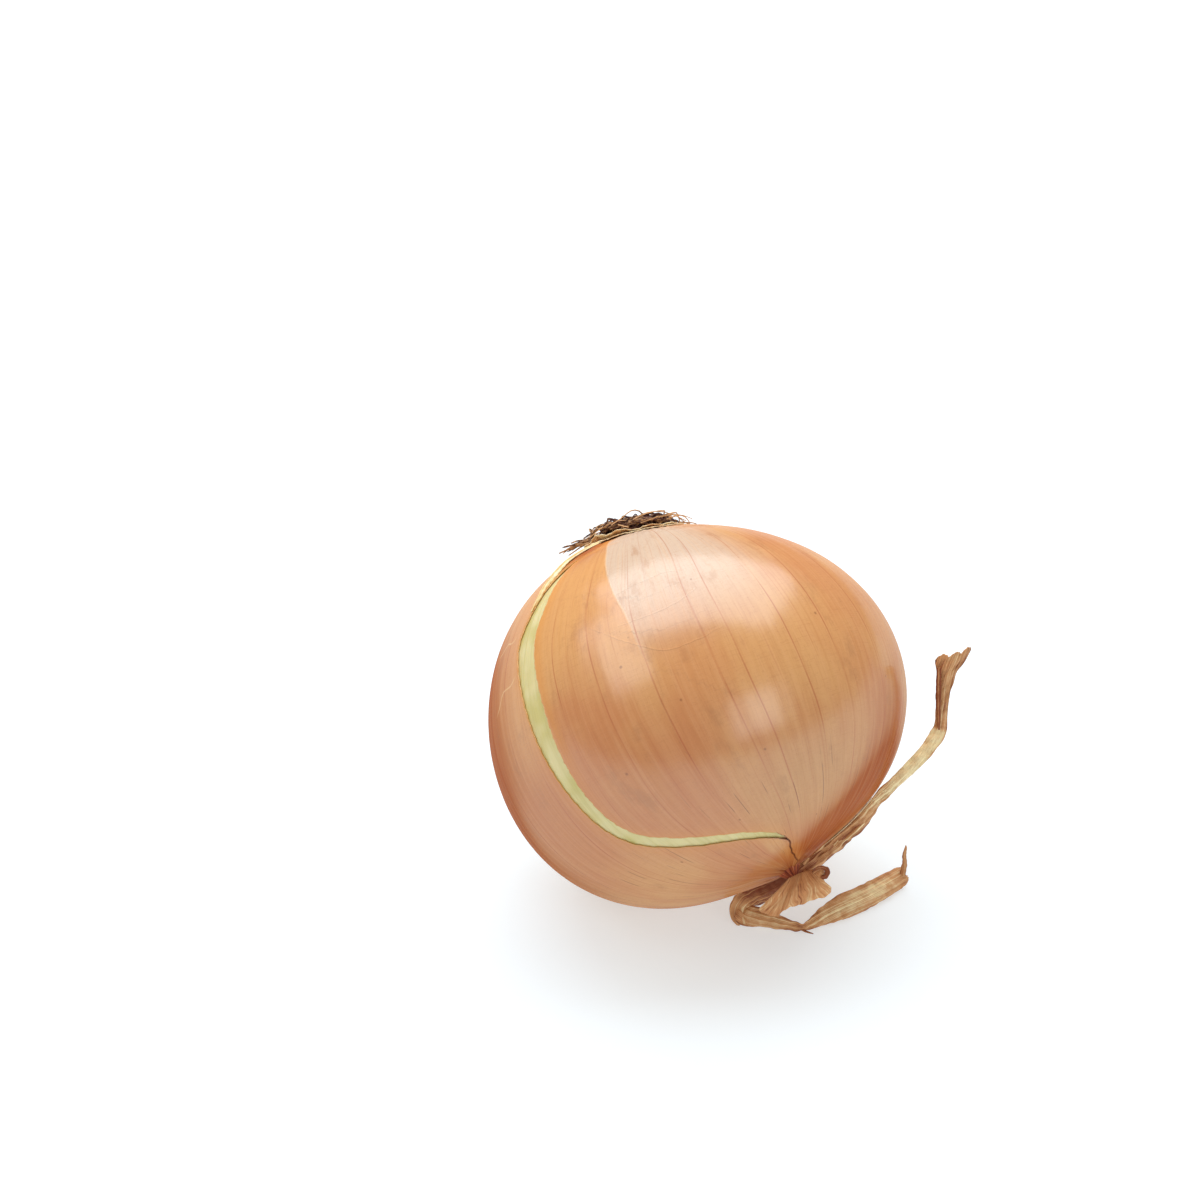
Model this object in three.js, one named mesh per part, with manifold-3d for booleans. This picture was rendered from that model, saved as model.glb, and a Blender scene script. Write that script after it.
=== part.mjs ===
// One dry onion bulb lying on its side, in millimetres, with +Z up and the bulb's neck towards the viewer's lower right.
// The origin is the middle of the small flat spot on which the bulb rests.
import * as THREE from "three";
import { mergeVertices } from "three/addons/utils/BufferGeometryUtils.js";
import Module from "manifold-3d";

const wasm = await Module();
wasm.setup();

const TURN = 2 * Math.PI;
const DEGREE = Math.PI / 180;

// Where the bulb lies: its centre, and its own axes in the part's frame. The neck axis runs from root to neck.
const BULB_CENTRE = new THREE.Vector3(2.5, -3.7, 40.0);
const NECK_AXIS = new THREE.Vector3(0.37, -0.6081, -0.7024).normalize();
const RIGHT_AXIS = new THREE.Vector3(0.9249, 0.1698, 0.3402).normalize();
const FRONT_AXIS = new THREE.Vector3().crossVectors(NECK_AXIS, RIGHT_AXIS);

// The bulb's form: its radius is a sum of cosines of the angle from the root pole, plus a lean to the right.
const MEAN_RADIUS = 40.3;
const RADIUS_WAVES = [0.2, -2.5, 0.7, -0.1];
const LEAN_RIGHT = 1.0;
const LEAN_WITH_AXIS = 0.3;
const LEAN_AT_POLES = -3.7;
// Both poles sit off the axis towards the right side, so the meridians run together there.
const ROOT_SHIFT = 0.1;
const NECK_SHIFT = 0.17;
// The skin gathers in pleats round the neck and rises to it.
const NECK_RISE = 0.8;
const NECK_RISE_ANGLE = 9 * DEGREE;
const PLEAT_DEPTH = 0.45;
const PLEAT_COUNT = 11;
const PLEAT_ANGLE = 16 * DEGREE;

// The dry outer skin and the flesh under it.
const SKIN_THICKNESS = 0.7;
const SKIN_GAP = 0.35;
const SKIN_OUTER_SEGMENTS = [72, 40];
const SKIN_INNER_SEGMENTS = [36, 22];
const FLESH_SEGMENTS = [32, 20];
const POLE_CROWDING = 0.5;
const ROOT_HOLE_RADIUS = 8.6;

// The split in the skin: angle from the root pole, angle round the axis from the right side, and width in mm.
const SPLIT_STATIONS = [
  [26.5, 104.6, 0.6],
  [29.7, 120.8, 1.0],
  [39.3, 129.1, 1.8],
  [48.8, 132.0, 2.8],
  [57.3, 135.0, 3.7],
  [64.5, 134.8, 3.3],
  [73.4, 133.6, 3.1],
  [82.0, 132.6, 3.4],
  [89.8, 132.0, 3.3],
  [97.9, 131.3, 3.0],
  [106.7, 130.2, 2.8],
  [116.0, 128.0, 2.8],
  [123.2, 123.6, 2.6],
  [129.2, 114.8, 2.5],
  [133.5, 105.0, 2.4],
  [138.1, 91.0, 2.3],
  [142.8, 78.0, 1.9],
  [148.0, 68.0, 1.0],
  [156.0, 59.0, 0.6],
  [163.0, 45.0, 0.6],
];
const SPLIT_STEPS = 52;
const SPLIT_EDGE_WANDER = 0.16;
const SPLIT_REACH_IN = 0.9;
const SPLIT_REACH_OUT = 0.6;

// The basal plate and its dry roots.
const PLATE_RADIUS = 8.2;
const PLATE_RISE = 2.0;
const PLATE_SEGMENTS = [26, 10];
const PLATE_LUMP = 0.3;
const ROOT_COUNT = 32;
const ROOT_SIDES = 3;
const ROOT_STEPS = 4;
const ROOT_THICKNESS = 0.55;
const ROOT_SEED = 20;
const BUNDLE_COUNT = 7;
const BUNDLE_ANGLE = 168 * DEGREE;
const BUNDLE_REACH = 15.5;
const ARC_RADIUS = 38;

// The torn papery rim round the plate.
const COLLAR_THICKNESS = 0.6;
const COLLAR_INNER_RADIUS = 8.8;
const COLLAR_OUTER_RADIUS = 12.4;
const COLLAR_TEAR = 1.9;
const COLLAR_LIFT = 1.3;
const COLLAR_STEPS = [72, 2];

// The pinched neck.
const NECK_RADIUS = 4.2;
const NECK_HEIGHT = 2.6;
const NECK_CLEARANCE = 0.45;
const NECK_SEGMENTS = [36, 10];
const NECK_PLEATS = 9;
const NECK_PLEAT_SHARE = 0.16;
const NECK_GAP = 0.35;
const CUT_TOLERANCE = 0.01;

// The dried leaves. A station is x, y, z of the centre line, the blade's width, and its turn in degrees
// about the centre line, where 0 faces the front.
const LEAF_THICKNESS = 0.7;
const LEAF_CLEARANCE = 0.75;
const LEAF_FRONT = new THREE.Vector3(0, -0.86, 0.51);
const LONG_LEAF = {
  stations: [
    [23.6, -26.2, 14.6, 2.2, 0],
    [25.9, -23.6, 16.9, 3.0, -9],
    [28.5, -20.9, 18.3, 3.6, -14],
    [34.1, -18.3, 22.6, 4.2, -21],
    [39.0, -16.1, 26.4, 3.9, -18],
    [43.6, -14.2, 30.0, 2.8, -7],
    [48.2, -11.9, 33.5, 2.9, 4],
    [51.7, -9.1, 37.5, 2.6, 11],
    [52.6, -6.8, 41.7, 2.8, 3],
    [53.1, -5.4, 46.5, 3.4, -8],
    [53.6, -4.9, 49.3, 4.6, -9],
    [54.3, -4.4, 51.4, 6.4, -10],
  ],
  steps: [44, 6],
  gutter: 0.24,
  edgeWander: 0.1,
  twistWave: 5,
  teeth: 3,
  toothLength: 0.9,
  toothLean: 4.6,
};
const FOLDED_LEAF = {
  stations: [
    [22.4, -26.6, 14.2, 2.4, 20],
    [20.4, -24.6, 10.6, 3.4, 35],
    [17.4, -22.6, 7.2, 4.0, 40],
    [14.2, -20.4, 4.2, 4.2, 45],
    [12.2, -19.6, 2.5, 4.0, 20],
    [12.6, -20.3, 1.9, 4.2, 0],
    [16.0, -20.9, 2.0, 4.4, -20],
    [20.8, -22.7, 1.9, 3.6, -30],
    [24.6, -23.5, 1.3, 1.8, -50],
    [26.2, -23.0, 1.4, 2.0, -25],
    [29.4, -20.6, 2.1, 3.6, 0],
    [33.9, -17.5, 2.6, 5.0, 4],
    [39.3, -13.7, 2.9, 5.0, 6],
    [44.4, -8.6, 2.6, 4.5, 4],
    [46.8, -6.0, 2.4, 4.0, 2],
  ],
  steps: [52, 4],
  gutter: 0.16,
  edgeWander: 0.09,
  twistWave: 6,
  teeth: 2,
  toothLength: 1.0,
  toothLean: -0.6,
};
// The flap hangs from the neck: its top edge and its bottom edge, both from left to right.
const FLAP_TOP = [
  [22.6, -26.9, 15.6],
  [25.4, -26.7, 16.5],
  [28.4, -26.2, 17.3],
];
const FLAP_BOTTOM = [
  [18.2, -30.7, 8.6],
  [20.4, -30.5, 9.6],
  [23.4, -30.2, 10.9],
  [26.2, -29.6, 11.7],
  [31.0, -28.3, 13.6],
];
const FLAP_STEPS = [40, 4];
const FLAP_PLEATS = 5;
const FLAP_PLEAT_DEPTH = 0.3;
const FLAP_CURL = 1.5;
const FLAP_TEAR = 0.9;
const FLAP_NOTCH = 0.3;

// A seeded generator of numbers from 0 to 1, so each build places the roots alike.
function seededRandom(seed) {
  let state = seed;
  return () => {
    state = (state * 16807) % 2147483647;
    return state / 2147483647;
  };
}

// A smooth wander between about -1 and 1 along u, different for each kind.
function wander(u, kind) {
  return 0.55 * Math.sin(17 * u + 1.7 * kind) + 0.45 * Math.sin(41 * u + 2.9 * kind);
}

// Direction from the bulb's centre, in the bulb's own frame, for angles measured on the shifted meridians.
function meridianDirection(fromRoot, round) {
  const shift = Math.cos(fromRoot) > 0 ? ROOT_SHIFT : NECK_SHIFT;
  const x = Math.sin(fromRoot) * Math.cos(round) + shift * Math.cos(fromRoot) ** 2;
  const y = Math.sin(fromRoot) * Math.sin(round);
  return new THREE.Vector3(x, y, -Math.cos(fromRoot)).normalize();
}

// Direction for plain angles from the bulb's own axis.
function plainDirection(fromRoot, round) {
  const x = Math.sin(fromRoot) * Math.cos(round);
  const y = Math.sin(fromRoot) * Math.sin(round);
  return new THREE.Vector3(x, y, -Math.cos(fromRoot));
}

// Radius of the smooth bulb in a direction of its own frame.
function smoothRadius(direction) {
  const fromRoot = Math.acos(THREE.MathUtils.clamp(-direction.z, -1, 1));
  const waves = RADIUS_WAVES.reduce((sum, size, i) => sum + size * Math.cos((i + 1) * fromRoot), 0);
  const lean = LEAN_RIGHT + LEAN_WITH_AXIS * direction.z + LEAN_AT_POLES * direction.z ** 2;
  return MEAN_RADIUS + waves + direction.x * lean;
}

// Rise and pleats of the skin near the neck, for angles on the shifted meridians.
function neckGather(fromRoot, round) {
  const fromNeck = Math.PI - fromRoot;
  const rise = NECK_RISE * Math.exp(-((fromNeck / NECK_RISE_ANGLE) ** 2));
  const share = fromNeck / PLEAT_ANGLE;
  const pleats = PLEAT_DEPTH * share * Math.exp(1 - share ** 2 - share) * Math.cos(PLEAT_COUNT * round);
  return rise + pleats;
}

// Turns a direction and a distance from the bulb's centre into a point of the part's frame.
function placed(direction, distance) {
  return BULB_CENTRE.clone()
    .addScaledVector(RIGHT_AXIS, direction.x * distance)
    .addScaledVector(FRONT_AXIS, direction.y * distance)
    .addScaledVector(NECK_AXIS, direction.z * distance);
}

// A point at a height over the skin, for angles on the shifted meridians.
function skinPoint(fromRoot, round, height) {
  const direction = meridianDirection(fromRoot, round);
  return placed(direction, smoothRadius(direction) + neckGather(fromRoot, round) + height);
}

// Moves a point out along its own radius until it clears the skin.
function clearOfBulb(point, clearance) {
  const away = point.clone().sub(BULB_CENTRE);
  const distance = away.length();
  const direction = new THREE.Vector3(away.dot(RIGHT_AXIS), away.dot(FRONT_AXIS), away.dot(NECK_AXIS));
  direction.divideScalar(distance);
  const least = smoothRadius(direction) + clearance;
  return distance >= least ? point : placed(direction, least);
}

// A closed manifold from a three.js geometry.
function manifoldOf(geometry) {
  geometry.deleteAttribute("normal");
  geometry.deleteAttribute("uv");
  const merged = mergeVertices(geometry, 1e-4);
  const vertProperties = new Float32Array(merged.attributes.position.array);
  const triVerts = new Uint32Array(merged.index.array);
  const solid = new wasm.Manifold(new wasm.Mesh({ numProp: 3, vertProperties, triVerts }));
  return solid;
}

// A three.js unit sphere with its poles on Z, each vertex moved by a function of its two angles and its height z.
function shapedSphere([aroundSteps, poleSteps], pointAt) {
  const geometry = new THREE.SphereGeometry(1, aroundSteps, poleSteps).rotateX(Math.PI / 2);
  const positions = geometry.attributes.position;
  const unit = new THREE.Vector3();
  for (let i = 0; i < positions.count; i++) {
    unit.fromBufferAttribute(positions, i);
    const fromTop = Math.acos(THREE.MathUtils.clamp(unit.z, -1, 1));
    const onPole = Math.sin(fromTop) < 1e-5;
    const round = onPole ? 0 : Math.atan2(unit.y, unit.x);
    const moved = pointAt(fromTop, round);
    positions.setXYZ(i, moved.x, moved.y, moved.z);
  }
  return manifoldOf(geometry);
}

// A thin closed sheet over a grid: middle surface plus and minus half the thickness along its normal.
// Both faces are split along the same diagonals. The grid can close on itself round its first direction.
function sheetSolid([alongSteps, acrossSteps], thickness, middleAt, closed = false) {
  const columns = closed ? alongSteps : alongSteps + 1;
  const rows = acrossSteps + 1;
  const step = 1e-3;
  const vertices = [];
  for (const side of [0.5, -0.5]) {
    for (let i = 0; i < columns; i++) {
      for (let j = 0; j < rows; j++) {
        const u = i / alongSteps;
        const v = j / acrossSteps;
        const alongBack = closed ? u - step : Math.max(u - step, 0);
        const alongOn = closed ? u + step : Math.min(u + step, 1);
        const along = middleAt(alongOn, v).sub(middleAt(alongBack, v));
        const across = middleAt(u, Math.min(v + step, 1)).sub(middleAt(u, Math.max(v - step, 0)));
        const normal = along.cross(across).normalize();
        const moved = middleAt(u, v).addScaledVector(normal, side * thickness);
        vertices.push(moved.x, moved.y, moved.z);
      }
    }
  }
  const lower = columns * rows;
  const at = (i, j) => (i % columns) * rows + j;
  const triangles = [];
  const quad = (a, b, c, d) => triangles.push(a, b, c, a, c, d);
  for (let i = 0; i < alongSteps; i++) {
    for (let j = 0; j < acrossSteps; j++) {
      quad(at(i, j), at(i + 1, j), at(i + 1, j + 1), at(i, j + 1));
      triangles.push(at(i, j) + lower, at(i + 1, j + 1) + lower, at(i + 1, j) + lower);
      triangles.push(at(i, j) + lower, at(i, j + 1) + lower, at(i + 1, j + 1) + lower);
    }
    quad(at(i, 0), at(i, 0) + lower, at(i + 1, 0) + lower, at(i + 1, 0));
    const last = acrossSteps;
    quad(at(i, last), at(i + 1, last), at(i + 1, last) + lower, at(i, last) + lower);
  }
  if (!closed) {
    for (let j = 0; j < acrossSteps; j++) {
      const end = alongSteps;
      quad(at(0, j), at(0, j + 1), at(0, j + 1) + lower, at(0, j) + lower);
      quad(at(end, j), at(end, j) + lower, at(end, j + 1) + lower, at(end, j + 1));
    }
  }
  const geometry = new THREE.BufferGeometry();
  geometry.setAttribute("position", new THREE.Float32BufferAttribute(vertices, 3));
  geometry.setIndex(triangles);
  return manifoldOf(geometry);
}

// The biggest of a manifold's bodies, so that a stray chip of a cut is dropped.
function biggestBody(solid) {
  return solid.decompose().reduce((best, body) => (body.volume() > best.volume() ? body : best));
}

// Everything above a level, as a large box.
function above(level) {
  const size = 300;
  const box = new THREE.BoxGeometry(size, size, size).translate(0, 0, level + size / 2);
  return manifoldOf(box);
}

// Angle from the root pole with the rings crowded towards both poles.
function crowded(fromTop) {
  return fromTop - (POLE_CROWDING / 2) * Math.sin(2 * fromTop);
}

// The whole bulb at a depth under its skin's outside.
function bulbBody(segments, depth) {
  return shapedSphere(segments, (fromTop, round) => {
    const fromRoot = Math.PI - crowded(fromTop);
    return skinPoint(fromRoot, round, -depth);
  });
}

// A body that fills the open split: a strip along the split's line, as wide as the split is there.
function splitCutter() {
  const centres = SPLIT_STATIONS.map(([fromRoot, round]) => plainDirection(fromRoot * DEGREE, round * DEGREE));
  const line = new THREE.CatmullRomCurve3(centres, false, "centripetal");
  const widths = new THREE.SplineCurve(SPLIT_STATIONS.map(([, , width], i) => new THREE.Vector2(i, width)));
  const thickness = SPLIT_REACH_IN + SKIN_THICKNESS + SPLIT_REACH_OUT;
  const middleDepth = thickness / 2 - SPLIT_REACH_OUT;
  return sheetSolid([SPLIT_STEPS, 1], thickness, (u, v) => {
    const direction = line.getPoint(u).normalize();
    const ahead = line.getTangent(u);
    const across = new THREE.Vector3().crossVectors(direction, ahead).normalize();
    const halfWidth = widths.getPoint(u).y / 2 + SPLIT_EDGE_WANDER * wander(3 * u, v);
    const radius = smoothRadius(direction) - middleDepth;
    const side = (2 * v - 1) * halfWidth;
    return placed(direction.addScaledVector(across, side / radius).normalize(), radius);
  });
}

// The round hole at the root end that the basal plate fills.
function rootHole() {
  return shapedSphere(PLATE_SEGMENTS, (fromTop, round) => {
    const radius = ROOT_HOLE_RADIUS * Math.sin(fromTop) ** 0.4;
    const height = fromTop < Math.PI / 2 ? 3 : -3;
    return skinPoint(radius / ARC_RADIUS, -round, height * Math.abs(Math.cos(fromTop)) ** 0.2);
  });
}

function outerSkin() {
  const outside = bulbBody(SKIN_OUTER_SEGMENTS, 0).intersect(above(0));
  const inside = bulbBody(SKIN_INNER_SEGMENTS, SKIN_THICKNESS).intersect(above(SKIN_THICKNESS));
  return biggestBody(outside.subtract(inside).subtract(splitCutter()).subtract(rootHole()));
}

function fleshyBulb() {
  const depth = SKIN_THICKNESS + SKIN_GAP;
  return bulbBody(FLESH_SEGMENTS, depth).intersect(above(depth));
}

// The basal plate: a low lumpy dome whose underside follows the flesh.
function basalPlate() {
  return shapedSphere(PLATE_SEGMENTS, (fromTop, round) => {
    const share = Math.sin(fromTop) ** 0.7;
    const lump = PLATE_LUMP * Math.sin(5 * round) * share;
    const top = 0.3 + PLATE_RISE * (1 - share ** 2) + lump;
    const height = fromTop < Math.PI / 2 ? top : -SKIN_THICKNESS;
    return skinPoint((PLATE_RADIUS * share) / ARC_RADIUS, -round, height);
  });
}

// One dry root: a thin tapered rod along a line of points over the root end.
function dryRoot(pointAt, thickness) {
  const geometry = new THREE.CylinderGeometry(1, 1, 1, ROOT_SIDES, ROOT_STEPS);
  const positions = geometry.attributes.position;
  const step = 1e-2;
  for (let i = 0; i < positions.count; i++) {
    const along = positions.getY(i) + 0.5;
    const taper = thickness * (1 - 0.35 * along);
    const centre = pointAt(along);
    const ahead = pointAt(along + step).sub(pointAt(along - step)).normalize();
    const outward = centre.clone().sub(BULB_CENTRE).normalize();
    const side = new THREE.Vector3().crossVectors(outward, ahead).normalize();
    const up = new THREE.Vector3().crossVectors(ahead, side);
    centre.addScaledVector(side, positions.getX(i) * taper);
    centre.addScaledVector(up, -positions.getZ(i) * taper);
    positions.setXYZ(i, centre.x, centre.y, centre.z);
  }
  return manifoldOf(geometry);
}

// The plate with its roots: most curl low over the plate and past its rim, and some lie in a bundle.
function rootCrown() {
  const random = seededRandom(ROOT_SEED);
  let crown = basalPlate();
  for (let i = 0; i < ROOT_COUNT; i++) {
    const bundled = i < BUNDLE_COUNT;
    const spread = bundled ? 0.5 * (random() - 0.5) : TURN * (i / ROOT_COUNT + 0.06 * random());
    const startRound = BUNDLE_ANGLE + spread;
    const startRadius = bundled ? 5 + 2 * random() : 2.5 + 4.5 * random();
    const endRadius = bundled ? BUNDLE_REACH - 2.5 * random() : 8.5 + 5 * random();
    const bend = bundled ? 0.1 * (random() - 0.5) : (random() < 0.5 ? -1 : 1) * (0.5 + 0.9 * random());
    const arch = bundled ? 1.9 : 0.8 + 1.7 * random();
    const startHeight = 0.2 + PLATE_RISE * (1 - (startRadius / PLATE_RADIUS) ** 2);
    const endHeight = bundled ? 2.3 + 0.9 * random() : 2.8 + 0.8 * random();
    const pointAt = (t) => {
      const radius = startRadius + (endRadius - startRadius) * t;
      const round = startRound + bend * t;
      const height = startHeight + (endHeight - startHeight) * t + arch * Math.sin(Math.PI * t);
      return skinPoint(radius / ARC_RADIUS, round, height);
    };
    crown = crown.add(dryRoot(pointAt, ROOT_THICKNESS * (0.85 + 0.3 * random())));
  }
  return biggestBody(crown);
}

// The papery rim: a ring with a torn outer edge that lifts from the skin.
function rootCollar() {
  return sheetSolid(
    COLLAR_STEPS,
    COLLAR_THICKNESS,
    (u, v) => {
      const round = TURN * u;
      const tear = 0.5 * Math.sin(7 * round) + 0.3 * Math.sin(16 * round + 1) + 0.2 * Math.sin(29 * round + 2);
      const outer = COLLAR_OUTER_RADIUS + COLLAR_TEAR * tear;
      const radius = COLLAR_INNER_RADIUS + (outer - COLLAR_INNER_RADIUS) * v;
      const lift = COLLAR_LIFT * v * (0.55 + 0.25 * Math.sin(3 * round + 0.5) + 0.2 * Math.sin(11 * round));
      return skinPoint(radius / ARC_RADIUS, round, 0.75 + lift);
    },
    true,
  );
}

// The neck: a low pleated knot on the shifted neck pole. Grown by a margin, it is what the leaves are cut by.
function pinchedNeck(margin) {
  return shapedSphere(NECK_SEGMENTS, (fromTop, round) => {
    const share = Math.sin(fromTop) ** 1.3;
    const pleat = 1 + NECK_PLEAT_SHARE * Math.cos(NECK_PLEATS * round);
    const rise = (NECK_HEIGHT + margin) * Math.cos(fromTop) ** 0.8;
    const height = fromTop < Math.PI / 2 ? NECK_CLEARANCE + rise : NECK_CLEARANCE - margin;
    return skinPoint(Math.PI - (NECK_RADIUS * share * pleat + margin * share) / ARC_RADIUS, round, height);
  });
}

// One dried leaf: a blade swept along its stations, folded to a gutter, with wandering edges and a torn end.
function driedLeaf(leaf) {
  const centres = leaf.stations.map(([x, y, z]) => new THREE.Vector3(x, y, z));
  const line = new THREE.CatmullRomCurve3(centres, false, "centripetal");
  const settings = leaf.stations.map(([, , , width, turn]) => new THREE.Vector2(width, turn * DEGREE));
  const blade = new THREE.SplineCurve(settings);
  return sheetSolid(leaf.steps, LEAF_THICKNESS, (u, v) => {
    const setting = blade.getPoint(u);
    const ahead = line.getTangent(u);
    const flatSide = new THREE.Vector3().crossVectors(ahead, LEAF_FRONT).normalize();
    const face = new THREE.Vector3().crossVectors(flatSide, ahead).normalize();
    const turn = setting.y + leaf.twistWave * DEGREE * wander(u, 2);
    const side = flatSide.clone().multiplyScalar(Math.cos(turn)).addScaledVector(face, Math.sin(turn));
    const normal = face.multiplyScalar(Math.cos(turn)).addScaledVector(flatSide, -Math.sin(turn));
    const across = 2 * v - 1;
    const width = setting.x * (1 + leaf.edgeWander * wander(u, 5 * Math.sign(across)));
    const fold = leaf.gutter * width * (0.5 - Math.abs(across));
    const tooth = leaf.toothLength * Math.abs(Math.sin(leaf.teeth * Math.PI * v)) + leaf.toothLean * v;
    const point = line.getPoint(u);
    point.addScaledVector(side, (across * width) / 2);
    point.addScaledVector(normal, fold);
    point.addScaledVector(ahead, tooth * u ** 8);
    const clear = clearOfBulb(point, LEAF_CLEARANCE);
    clear.z = Math.max(clear.z, LEAF_THICKNESS / 2 + 0.05);
    return clear;
  });
}

// The short flap: a pleated skirt between its top edge and its torn bottom edge.
function tornFlap() {
  const top = new THREE.CatmullRomCurve3(FLAP_TOP.map((p) => new THREE.Vector3(...p)));
  const bottom = new THREE.CatmullRomCurve3(FLAP_BOTTOM.map((p) => new THREE.Vector3(...p)));
  return sheetSolid(FLAP_STEPS, LEAF_THICKNESS, (u, v) => {
    const torn = 1 + FLAP_TEAR * 0.1 * wander(u, 4) - FLAP_NOTCH * Math.exp(-(((u - 0.82) / 0.06) ** 2));
    const point = top.getPoint(u).lerp(bottom.getPoint(u), v * torn);
    const pleat = FLAP_PLEAT_DEPTH * (0.25 + 0.75 * v) * Math.sin(FLAP_PLEATS * TURN * u + 1.5 * v);
    const curl = FLAP_CURL * Math.sin(Math.PI * v) * (0.6 + 0.4 * Math.sin(2.5 * u));
    point.addScaledVector(LEAF_FRONT, pleat + curl);
    return clearOfBulb(point, LEAF_CLEARANCE);
  });
}

const MATERIALS = {
  flesh: new THREE.MeshStandardMaterial({ name: "flesh", color: 0xdcd8a6, roughness: 0.35 }),
  dry_skin: new THREE.MeshStandardMaterial({ name: "dry_skin", color: 0xc98f66, roughness: 0.4 }),
  root_fibre: new THREE.MeshStandardMaterial({ name: "root_fibre", color: 0x6f3c28, roughness: 0.9 }),
  torn_skin: new THREE.MeshStandardMaterial({ name: "torn_skin", color: 0xc79a6b, roughness: 0.7 }),
  dry_leaf: new THREE.MeshStandardMaterial({ name: "dry_leaf", color: 0xb3855b, roughness: 0.75 }),
};

const onion = new THREE.Group();
onion.name = "onion";

// Adds one solid to the onion as a named mesh.
function addPiece(name, solid, material) {
  const mesh = solid.getMesh();
  const geometry = new THREE.BufferGeometry();
  geometry.setAttribute("position", new THREE.BufferAttribute(new Float32Array(mesh.vertProperties), 3));
  geometry.setIndex(new THREE.BufferAttribute(new Uint32Array(mesh.triVerts), 1));
  const piece = new THREE.Mesh(geometry, material);
  piece.name = name;
  onion.add(piece);
}

const neckAndGap = pinchedNeck(NECK_GAP);
addPiece("fleshy_bulb", fleshyBulb(), MATERIALS.flesh);
addPiece("outer_skin", outerSkin(), MATERIALS.dry_skin);
addPiece("root_crown", rootCrown(), MATERIALS.root_fibre);
addPiece("root_collar", rootCollar(), MATERIALS.torn_skin);
addPiece("neck", pinchedNeck(0), MATERIALS.dry_leaf);
addPiece("leaf_long", biggestBody(driedLeaf(LONG_LEAF).subtract(neckAndGap)), MATERIALS.dry_leaf);
addPiece("leaf_folded", biggestBody(driedLeaf(FOLDED_LEAF).subtract(neckAndGap)), MATERIALS.dry_leaf);
addPiece("torn_flap", biggestBody(tornFlap().subtract(neckAndGap)).simplify(CUT_TOLERANCE), MATERIALS.dry_leaf);

export default onion;
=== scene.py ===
import bpy
import numpy as np
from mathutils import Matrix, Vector


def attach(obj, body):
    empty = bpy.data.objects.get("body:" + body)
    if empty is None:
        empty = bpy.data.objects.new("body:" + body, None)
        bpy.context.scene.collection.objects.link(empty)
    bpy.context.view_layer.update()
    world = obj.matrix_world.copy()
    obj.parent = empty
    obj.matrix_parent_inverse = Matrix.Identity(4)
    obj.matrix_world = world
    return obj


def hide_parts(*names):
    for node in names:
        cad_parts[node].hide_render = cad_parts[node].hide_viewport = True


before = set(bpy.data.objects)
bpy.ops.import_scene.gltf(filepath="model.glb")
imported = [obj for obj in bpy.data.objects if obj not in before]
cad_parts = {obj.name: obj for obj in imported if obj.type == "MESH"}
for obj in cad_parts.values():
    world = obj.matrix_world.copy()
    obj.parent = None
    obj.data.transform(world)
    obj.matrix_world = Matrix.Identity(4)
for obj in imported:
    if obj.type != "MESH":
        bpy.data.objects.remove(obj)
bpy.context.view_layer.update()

# Camera.
# The photograph looks down at the onion from the front with a long lens.
# The place and the angle were worked out from the bulb's outline in the picture.
CAMERA_PLACE = (-0.01612, -0.56397, 0.37034)
CAMERA_TILT = 61.5
CAMERA_LENS = 96.3

camera_data = bpy.data.cameras.new("camera")
camera_data.sensor_width = 36.0
camera_data.lens = CAMERA_LENS
camera_data.clip_start = 0.01
camera_data.clip_end = 20.0
camera = bpy.data.objects.new("camera", camera_data)
camera.location = CAMERA_PLACE
camera.rotation_euler = (np.radians(CAMERA_TILT), 0.0, 0.0)
bpy.context.scene.collection.objects.link(camera)
bpy.context.scene.camera = camera

# Studio.
# A white sweep that glows a little, as on a lit shooting table, under a dim white tent.
# A broad soft box hangs overhead, a long one to its front left and a small one stands to the front right.
# They are the three pale patches that the bulb reflects.
FLOOR_SIZE = 60.0
FLOOR_COLOUR = (0.44, 0.53, 0.60, 1.0)
FLOOR_GLOW = 0.50
TENT_STRENGTH = 0.44
TENT_COLOUR = (1.0, 0.90, 0.78, 1.0)
LIGHT_DISTANCE = 1.1
AIM_POINT = Vector((0.0, 0.0, 0.045))
SOFT_BOXES = {
    "overhead_box": dict(direction=(-0.03, 0.42, 0.90), size=(1.5, 1.15), power=16.0),
    "left_box": dict(direction=(-0.72, -0.10, 0.78), size=(1.0, 0.4), power=2.7),
    "front_box": dict(direction=(0.54, -0.75, 0.38), size=(0.5, 0.5), power=1.6),
}


def soft_box(name, direction, size, power):
    """A rectangular area light at a fixed distance from the aim point, turned to face it."""
    light = bpy.data.lights.new(name, "AREA")
    light.shape = "RECTANGLE"
    light.size, light.size_y = size
    light.energy = power
    holder = bpy.data.objects.new(name, light)
    away = Vector(direction).normalized()
    holder.location = AIM_POINT + away * LIGHT_DISTANCE
    holder.rotation_euler = away.to_track_quat("Z", "Y").to_euler()
    bpy.context.scene.collection.objects.link(holder)


def new_material(name, values):
    """A Principled material with the given inputs set."""
    material = bpy.data.materials.new(name)
    material.use_nodes = True
    shader = material.node_tree.nodes["Principled BSDF"]
    for key, value in values.items():
        shader.inputs[key].default_value = value
    return material, material.node_tree, shader


for name, settings in SOFT_BOXES.items():
    soft_box(name, **settings)

world = bpy.data.worlds.new("tent")
world.use_nodes = True
world.node_tree.nodes["Background"].inputs["Color"].default_value = TENT_COLOUR
world.node_tree.nodes["Background"].inputs["Strength"].default_value = TENT_STRENGTH
bpy.context.scene.world = world
bpy.context.scene.view_settings.view_transform = "Standard"

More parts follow.
